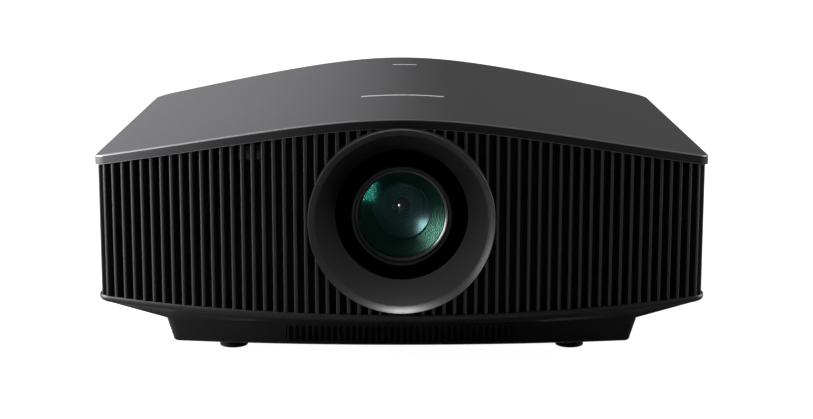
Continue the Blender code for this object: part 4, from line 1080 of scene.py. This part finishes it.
def make_trigger_jack():
    """A round jack with a stepped nose and a plated ring round its bore."""
    low, high, middle, radius = round_node("trigger_jack")
    length = high.x - low.x
    place = (low.x, middle.y, middle.z)
    profile = [
        (radius, 0),
        *near(radius, length, (0, -1.6), (-0.3, -1.3), (-0.9, -1.3), (-1, -0.3), (-1.4, 0)),
        *near(1.8 * MM, length, (0.1, 0), (0, -0.2)),
        *near(0, 0, (1.8, 1.6), (0, 1.6), (0, 0))]
    finish_piece(lathe("trigger_socket", profile, place, (1, 0, 0), 48, False), SOCKET_BLACK,
                 "root", ["trigger_jack"])
    plating = near(radius, length, (-1.45, -1), (-1.45, 0.05), (-2, 0.05), (-2, -1))
    finish_piece(lathe("trigger_ring", plating, place, (1, 0, 0), 48), STEEL, "root")


def add_pin(shape, centre, radius, length):
    """A round contact pin with a rounded tip along +X, added to a bmesh."""
    place = facing(centre, (1, 0, 0))
    add_skin(shape, [ring(place, 12, radius * share, length * along) for share, along in (
        (1.0, 0.0), (1.0, 0.82), (0.75, 0.95), (0.35, 1.0))])


def add_hexagon(shape, centre, radius, length):
    """A hexagonal post with a bevelled end and a round hole along +X, added to a bmesh."""
    def flat(i):
        return math.cos(math.pi / 6) / math.cos(math.radians(15 * i % 60 - 30))
    place = facing(centre, (1, 0, 0))
    rings = [ring(place, 24, lambda i: radius * share * flat(i), length * along)
             for share, along in ((1.0, 0.0), (1.0, 0.86), (0.86, 1.0))]
    rings += [ring(place, 24, radius * share, length * along)
              for share, along in ((0.5, 1.0), (0.46, 0.5))]
    add_skin(shape, rings)


def make_inlet():
    """The mains inlet: a rounded block with a deep cornered mouth and three flat pins."""
    low, high = corners("ac_inlet")
    middle = (low + high) / 2
    inlet = box_piece("mains_inlet", low, high, 1.2 * MM, 3)
    rim = Vector((3.2 * MM, 0, 3.2 * MM))
    mouth_low = Vector((low.x, high.y - 17 * MM, low.z)) + rim
    mouth_high = Vector((high.x, high.y + 5 * MM, high.z)) - rim
    cut_box(inlet, mouth_low, mouth_high, 1.6 * MM)
    groove = Vector((1.7 * MM, 0, 1.7 * MM))
    band = 0.8 * MM
    cut_groove(inlet, Vector((low.x, high.y - 0.6 * MM, low.z)) + groove,
               Vector((high.x, high.y + 0.01, high.z)) - groove,
               mouth_low - Vector((band, 0, band)), mouth_high + Vector((band, 0.01, band)))
    even_shading(finish_piece(inlet, SOCKET_BLACK, "root", ["ac_inlet"]))
    pins = []
    for offset, lift in ((-7, -1), (0, 3), (7, -1)):
        x = middle.x + offset * MM
        z = middle.z + lift * MM
        pins.append(((x - 1 * MM, mouth_low.y - 1 * MM, z - 2 * MM),
                     (x + 1 * MM, high.y - 4 * MM, z + 2 * MM)))
    add_blocks("inlet_pins", pins, STEEL, 0.35 * MM, 2)


def engrave(made, strokes, middle, size, face_x):
    """Sinks straight strokes (y, z, y, z), in shares of a size, into a face along +X."""
    width = 0.5 * MM
    depth = 0.25 * MM
    for stroke in strokes:
        y0, z0, y1, z1 = (share * size for share in stroke)
        length = math.hypot(y1 - y0, z1 - z0) + width * 0.6
        turn = math.atan2(z1 - z0, y1 - y0)
        centre = (face_x, middle.y + (y0 + y1) / 2, middle.z + (z0 + z1) / 2)
        place = Matrix.Translation(centre) @ Matrix.Rotation(turn, 4, "X")
        shape = bmesh.new()
        block(shape, (-depth, -length / 2, -width / 2), (0.01, length / 2, width / 2), place)
        subtract(made, link("cutter", shape))


def open_ring(drop):
    """Short strokes round a circle that is open at the top, a little below the middle."""
    ends = [(math.cos(turn), math.sin(turn) - drop)
            for turn in (math.radians(108 + 36 * i) for i in range(9))]
    return [(*first, *second) for first, second in zip(ends, ends[1:])]


# Plain marks that stand for what each key does
KEY_MARKS = {
    "power_button": [(0, 0, 0, 1.3)] + open_ring(0.1),
    "input_button": [(-1, 0, 0.5, 0), (1, -1, 1, 1)],
    "menu_button": [(-1, rise, 1, rise) for rise in (-0.7, 0, 0.7)],
    "enter_button": [(1, 1, 1, -0.4), (1, -0.4, -1, -0.4)],
    "up_button": [(-1, -0.5, 0, 0.6), (0, 0.6, 1, -0.5)],
    "down_button": [(-1, 0.5, 0, -0.6), (0, -0.6, 1, 0.5)],
    "left_button": [(0.5, 1, -0.6, 0), (-0.6, 0, 0.5, -1)],
    "right_button": [(-0.5, 1, 0.6, 0), (0.6, 0, -0.5, -1)],
}


def make_keys():
    """Round keys with a rounded rim, a shallow dish and a mark sunk in the face."""
    for name, strokes in KEY_MARKS.items():
        low, high, middle, radius = round_node(name)
        depth = high.x - low.x
        dish = radius - 0.9 * MM
        dish_top = depth - 0.05 * MM
        profile = [(0, 0), (radius, 0), *near(radius, depth, (0, -0.5), (-0.15, -0.15), (-0.5, 0)),
                   (dish, dish_top)]
        for i in range(1, 6):
            share = 1 - i / 5
            profile.append((dish * share, dish_top - 0.22 * MM * (1 - share ** 2)))
        key = lathe(name.replace("_button", "_key"), profile, (low.x, middle.y, middle.z),
                    (1, 0, 0), 48, False)
        engrave(key, strokes, middle, radius * 0.42, high.x - 0.25 * MM)
        finish_piece(key, KEY, name, [name])


def make_lamp_and_windows():
    """The domed status lamp and the two dark infrared windows."""
    low, high, middle, radius = round_node("power_lamp")
    depth = high.x - low.x
    profile = [(0, 0), (radius, 0), (radius, depth - 0.7 * MM), (radius * 0.86, depth - 0.3 * MM),
               (radius * 0.5, depth - 0.06 * MM), (0, depth)]
    lamp = lathe("status_lamp", profile, (low.x, middle.y, middle.z), (1, 0, 0), 32, False)
    finish_piece(lamp, LAMP, "root", ["power_lamp"])
    for name, node in (("front_receiver", "ir_window_front"), ("rear_receiver", "ir_window_rear")):
        low, high = corners(node)
        pane = box_piece(name, low, high, 0.9 * MM, 3)
        finish_piece(pane, DARK_WINDOW, "root", [node])


# ---------------------------------------------------------------- feet

def make_feet():
    """Front feet that screw up and down, and fixed rear feet with a rubber sole."""
    for side in ("left", "right"):
        for node, build, paint, slot in (("foot_pad_", knurled, RUBBER, "rubber"),
                                         ("foot_stem_", threaded, STEEL, "steel")):
            low, high, centre, radius = round_node(node + side)
            name = node.replace("foot", "adjusting") + side
            made = build(name, radius, (centre.x, centre.y, low.z), high.z - low.z)
            finish_piece(made, paint, node + side, [node + side])
        low, high, centre, radius = round_node("rear_foot_" + side)
        tall = high.z - low.z
        profile = [
            *near(0, 0, (0, 1.2), (3.2, 1.2), (3.6, 0.5)),
            (radius * 0.62, 0.5 * MM), (radius * 0.66, 0),
            *near(radius, 0, (-1.4, 0), (-0.5, 0.3), (-0.1, 1.1), (0, 2.2)),
            (radius - 0.5 * MM, tall * 0.5), *near(radius, tall, (-0.3, -0.6), (-0.8, 0)),
            (0, tall)]
        foot = lathe("rear_sole_" + side, profile, (centre.x, centre.y, low.z), (0, 0, 1), 64,
                     False)
        finish_piece(foot, RUBBER, "root", ["rear_foot_" + side])


def knurled(name, radius, base, tall):
    """A round pad whose rim is cut into grips, with a rounded sole and a flat top."""
    top = tall / MM
    levels = ((0.0, 0.0, 0.9), (0.58, 0.0, 0.9), (0.62, 0.0, 0.4), (0.66, 0.0, 0.0),
              (0.90, 0.0, 0.0), (0.965, 0.1, 0.35), (0.985, 0.3, 1.0), (0.99, 1.0, 1.7),
              (0.99, 1.0, top - 1.4), (0.97, 0.3, top - 0.7), (0.90, 0.0, top), (0.0, 0.0, top))
    place = Matrix.Translation(base)
    rings = []
    for share, grip, height in levels:
        def rim(i):
            notch = 0.035 * grip * (1 if i % 4 in (0, 1) else -0.6)
            return radius * min(1.0, share + notch)
        rings.append(ring(place, 96, rim if share else 0, height * MM))
    return skin(name, rings)


def threaded(name, radius, base, tall):
    """A stem with a helical thread between a plain neck and a bevelled end."""
    steps = 32
    pitch = 2.0 * MM
    depth = 0.55 * MM
    levels = int(tall / (pitch / 6))
    place = Matrix.Translation((base[0], base[1], 0))
    rings = []
    for level in range(levels + 1):
        z = base[2] + tall * level / levels
        left = levels - level
        ends = min(1.0, level / 6, left / 6)
        bevel = 0.25 * MM * max(0, 3 - left)

        def reach(i):
            wave = 0.5 + 0.5 * math.cos(2 * math.pi * (z / pitch - i / steps))
            return radius - depth * (0.25 + 0.75 * wave * ends) - bevel
        rings.append(ring(place, steps, reach, z))
    return skin(name, rings)


# ---------------------------------------------------------------- marks and underside

def make_inlays():
    """Plain inlaid bars on the cover, without any lettering."""
    for name, (low_x, high_x, y, width) in INLAYS.items():
        bar = curved_bar(name, low_x, high_x, y, width, -0.5, -0.06)
        finish_piece(bar, INLAY, "root")


def make_underside():
    """What shows from below: case screws and the threaded inserts for a bracket."""
    low_z = PLINTH_BOTTOM_Z
    screws = bmesh.new()
    for x in (-185, 0, 185):
        for y in (-150, 205):
            add_screw(screws, (x * MM, y * MM, low_z + 0.06 * MM), (0, 0, -1), 3.4 * MM)
    finish_piece(link("case_screws", screws), DARK_METAL, "root")
    inserts = bmesh.new()
    for x in (-75, 75):
        for y in (-60, 120):
            add_insert(inserts, Vector((x * MM, y * MM, low_z)), 4.2 * MM)
    finish_piece(link("bracket_inserts", inserts), BRASS, "root")


def add_insert(shape, centre, radius):
    """A threaded insert seen from below: a flat ring round a dark stepped hole."""
    place = Matrix.Translation(centre)
    add_skin(shape, [ring(place, 32, radius * share, up * MM) for share, up in (
        (1.0, 0.3), (1.0, -0.12), (0.92, -0.2), (0.6, -0.2), (0.55, 0.1), (0.55, 0.35))])


# ---------------------------------------------------------------- inside

def make_air_filter():
    """A pleated filter in a slim frame, behind the filter door."""
    low, high = corners("air_filter")
    slim = box_piece("filter_frame", low, high, 0.6 * MM)
    edge = 5 * MM
    cut_box(slim, (low.x - 1, low.y + edge, low.z + edge),
            (high.x + 1, high.y - edge, high.z - edge), 1 * MM)
    finish_piece(slim, SOCKET_BLACK, "root", ["air_filter"])
    folds = 52
    paper = 0.9 * MM
    rings = []
    for i in range(folds + 1):
        y = low.y + edge + (high.y - low.y - 2 * edge) * i / folds
        x = low.x + (1.2 * MM if i % 2 else 6.6 * MM)
        rings.append([(x, y, low.z + edge), (x, y, high.z - edge),
                      (x + paper, y, high.z - edge), (x + paper, y, low.z + edge)])
    finish_piece(skin("filter_pleats", rings), FOAM, "root")


def paint_inside():
    """Gives the mechanism and the electronics, kept as modelled, their own materials."""
    paints = {
        FAN_BLACK: ["fan_frame_left", "fan_frame_right", "fan_rotor_left", "fan_rotor_right"],
        ALUMINIUM: ["heat_sink", "shift_base", "up_carriage", "side_carriage"],
        ANODISED: ["laser_source"],
        STEEL: ["wheel_motor", "focus_motor", "zoom_motor", "up_lead_screw", "side_lead_screw"],
        BRASS: ["focus_pinion", "zoom_pinion"],
        NYLON: ["focus_ring", "zoom_ring"],
        BOARD: ["main_board"],
        DARK_METAL: ["optical_engine"],
        SHEET: ["power_supply"],
        PHOSPHOR: ["phosphor_wheel"],
    }
    for paint, nodes in paints.items():
        for node in nodes:
            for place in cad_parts[node].material_slots:
                place.material = paint.material


MESH_BLACK = textured_plastic("mesh_black", 0.001, 0.004, 0.8, 500, 0.6, 0.0003)
SOCKET_BLACK = textured_plastic("socket_black", 0.012, 0.017, 0.45, 1200, 0.15, 0.00005)
FAN_BLACK = textured_plastic("fan_black", 0.014, 0.020, 0.4)
NYLON = textured_plastic("natural_nylon", (0.55, 0.54, 0.49), (0.62, 0.61, 0.56), 0.42)
GOLD = metal("gold_contacts", (0.75, 0.52, 0.20), (0.90, 0.66, 0.30), 0.22)
ANODISED = metal("blue_anodised", (0.10, 0.14, 0.22), (0.14, 0.19, 0.28), 0.36)
SHEET = metal("zinc_sheet", (0.44, 0.45, 0.46), (0.56, 0.57, 0.58), 0.4, (40, 1, 1), 12)
INLAY = textured_plastic("inlay_silver", (0.50, 0.50, 0.51), (0.60, 0.60, 0.61), 0.36)
FOAM = textured_plastic("filter_paper", 0.16, (0.24, 0.24, 0.235), 0.9, 700, 0.5, 0.0002)


def glowing(name, low, high, glow, strength):
    """A tinted lens over a small lamp."""
    paint = Paint(name, Roughness=0.25, Emission_Color=(*glow, 1), Emission_Strength=strength)
    return paint.colour(paint.noise(400, 2.0), low, high)


AMBER = glowing("network_amber", (0.45, 0.25, 0.04), (0.55, 0.32, 0.06), (1, 0.6, 0.1), 0.02)
LAMP = glowing("status_diffuser", (0.55, 0.58, 0.60), (0.66, 0.69, 0.71), (0.9, 0.95, 1), 0.03)
DARK_WINDOW = textured_plastic("infrared_window", (0.006, 0.001, 0.002), (0.012, 0.002, 0.003),
                               0.14, 300, 0.02, 0.00002)


def board_green(name):
    """A circuit board: green lacquer over copper traces, with lighter pads."""
    paint = Paint(name, Roughness=0.38)
    bricks = paint.node("ShaderNodeTexBrick", {"Vector": paint.place}, Scale=90.0,
                        Mortar_Size=0.012, Color1=(0.008, 0.085, 0.035, 1),
                        Color2=(0.012, 0.115, 0.050, 1), Mortar=(0.06, 0.22, 0.09, 1))
    paint.drive("Base Color", bricks.outputs["Color"])
    return paint.bump(paint.noise(500, 2.0), 0.15, 0.00005)


def phosphor_coat(name):
    """Bright metal with a yellow coated track."""
    paint = Paint(name, Metallic=0.6, Roughness=0.4)
    speckle = paint.noise(1400, 3.0)
    paint.colour(speckle, (0.62, 0.52, 0.10), (0.78, 0.68, 0.18))
    return paint.bump(speckle, 0.2, 0.00005)


BOARD = board_green("circuit_board")
PHOSPHOR = phosphor_coat("phosphor_coat")


# ---------------------------------------------------------------- camera, light and floor

ELEVATION = math.radians(10.99)
DISTANCE = 1.6863
FOCAL_LENGTH = 81.86                # for a 36 mm wide sensor
AIM = Vector((0, FRONT_CORNER_Y, 135.86 * MM))


def make_camera():
    camera = bpy.data.objects.new("camera", bpy.data.cameras.new("camera"))
    bpy.context.scene.collection.objects.link(camera)
    back = Vector((0, -math.cos(ELEVATION), math.sin(ELEVATION)))
    camera.location = AIM + back * DISTANCE
    camera.rotation_euler = (math.pi / 2 - ELEVATION, 0, 0)
    camera.data.lens = FOCAL_LENGTH
    camera.data.sensor_width = 36
    camera.data.shift_x = 0.0060
    bpy.context.scene.camera = camera


def area_light(name, place, target, size, power, size_y=None):
    data = bpy.data.lights.new(name, "AREA")
    data.energy = power
    data.shape = "RECTANGLE"
    data.size = size
    data.size_y = size_y or size
    light = bpy.data.objects.new(name, data)
    light.location = place
    light.rotation_euler = (Vector(target) - Vector(place)).to_track_quat("-Z", "Y").to_euler()
    bpy.context.scene.collection.objects.link(light)
    return light


def shine_on(light, names):
    """Keeps a lamp's light on a few pieces, as a flag in front of it would."""
    targets = bpy.data.collections.new(light.name + "_targets")
    for name in names:
        targets.objects.link(bpy.data.objects[name])
    light.light_linking.receiver_collection = targets


def shine_past(light, names):
    """Keeps a lamp's light off a few pieces."""
    shine_on(light, names)
    for entry in light.light_linking.receiver_collection.collection_objects:
        entry.light_linking.link_state = "EXCLUDE"


def make_floor():
    """A white floor, bright where it is seen and open when looked at from below."""
    floor = Paint("floor_white", Roughness=0.8, Specular_IOR_Level=0.1,
                  Emission_Color=(1, 1, 1, 1))
    floor.colour(floor.noise(2, 2.0), 0.26, 0.28)
    path = floor.node("ShaderNodeLightPath")
    glow = floor.node("ShaderNodeMath", {0: path.outputs["Is Camera Ray"]}, operation="MULTIPLY")
    glow.inputs[1].default_value = 0.98
    floor.drive("Emission Strength", glow.outputs[0])
    side = floor.node("ShaderNodeNewGeometry")
    open_below = floor.node("ShaderNodeBsdfTransparent")
    choose = floor.node("ShaderNodeMixShader", {0: side.outputs["Backfacing"],
                                                1: floor.shader.outputs[0],
                                                2: open_below.outputs[0]})
    floor.tree.links.new(choose.outputs[0], floor.tree.nodes["Material Output"].inputs["Surface"])
    shape = bmesh.new()
    bmesh.ops.create_grid(shape, x_segments=1, y_segments=1, size=9)
    ground = link("floor", shape)
    ground.data.materials.append(floor.material)


def make_surround():
    """White where the camera sees past the floor, dim as a source of light."""
    world = bpy.data.worlds.new("studio")
    world.use_nodes = True
    tree = world.node_tree
    surround = tree.nodes["Background"]
    surround.inputs["Color"].default_value = (1, 1, 1, 1)
    surround.inputs["Strength"].default_value = 0.10
    seen = tree.nodes.new("ShaderNodeBackground")
    seen.inputs["Strength"].default_value = 1.1
    choose = tree.nodes.new("ShaderNodeMixShader")
    path = tree.nodes.new("ShaderNodeLightPath")
    tree.links.new(path.outputs["Is Camera Ray"], choose.inputs["Fac"])
    tree.links.new(surround.outputs[0], choose.inputs[1])
    tree.links.new(seen.outputs[0], choose.inputs[2])
    tree.links.new(choose.outputs[0], tree.nodes["World Output"].inputs["Surface"])
    bpy.context.scene.world = world


def light_from_below():
    """A small lamp under the floor that lights the underside through it."""
    below = area_light("underneath", (0, 0.05, -0.28), (0, 0.05, 0), 0.4, 0.6, 0.2)
    below.data.spread = math.radians(56)
    shine_on(below, ["case_tub", "case_screws", "bracket_inserts"])
    open_floor = bpy.data.collections.new("open_floor")
    open_floor.objects.link(bpy.data.objects["floor"])
    open_floor.collection_objects[0].light_linking.link_state = "EXCLUDE"
    below.light_linking.blocker_collection = open_floor


def make_studio():
    """Softboxes at the left, weaker lamps all round, and small ones for the lens.

    Most are kept on or off a few pieces, as flags in front of a lamp would do.
    """
    make_floor()
    make_surround()
    cover = ["cover_shell"]
    dish = ["lens_dish"]
    glass = ["front_element", "second_element", "third_element", "rear_element"]
    inside = ["baffle_cone", "second_cell", "third_cell", "rear_stop"]
    shine_past(area_light("key_left", (-2.9, 0.15, 0.98), (0, 0, 0.12), 2.0, 225), cover + dish)
    shine_on(area_light("cover_left", (-2.6, 0.3, 0.42), (0, 0, 0.20), 1.2, 400, 0.35), cover)
    shine_past(area_light("back_left", (-2.0, 3.2, 1.9), (0, 0, 0.15), 3.0, 40), cover)
    area_light("overhead", (-0.3, 0.25, 2.0), (0, 0.05, 0.1), 1.8, 17)
    area_light("right_fill", (2.6, 1.0, 0.7), (0, 0.1, 0.1), 1.4, 50)
    shine_on(area_light("front_fill", (1.3, -2.6, 0.7), (0.1, -0.2, 0.1), 1.2, 9),
             ["grille_slats"])
    light_from_below()
    for name, place, size, power, size_y, lit in (
            ("glass_light", (-0.61, -1.52, 0.29), 0.36, 30, None, glass),
            ("lens_side", (-1.1, -0.72, 0.55), 0.45, 30, 1.0, inside),
            ("ring_side", (-1.15, -0.72, 0.34), 0.4, 34, 0.9, ["glass_retainer"]),
            ("dish_side", (-1.1, -0.95, 0.35), 0.6, 9, None, dish),
            ("dish_top", (-0.02, -0.92, 1.15), 0.4, 21, None, dish)):
        shine_on(area_light(name, place, LENS_CENTRE, size, power, size_y), lit)
    bpy.context.scene.view_settings.view_transform = "Standard"


def main():
    make_camera()
    make_cover()
    make_grille()
    make_grille_back()
    make_case()
    make_plinth_vent()
    make_bezel()
    make_barrel()
    make_baffle()
    make_glass()
    make_side_walls()
    make_rear_wall()
    make_filter_door()
    make_tray()
    make_display_socket("1")
    make_display_socket("2")
    make_network_socket()
    make_serial_socket()
    make_trigger_jack()
    make_inlet()
    make_keys()
    make_lamp_and_windows()
    make_feet()
    make_inlays()
    make_underside()
    make_air_filter()
    paint_inside()
    make_studio()


main()
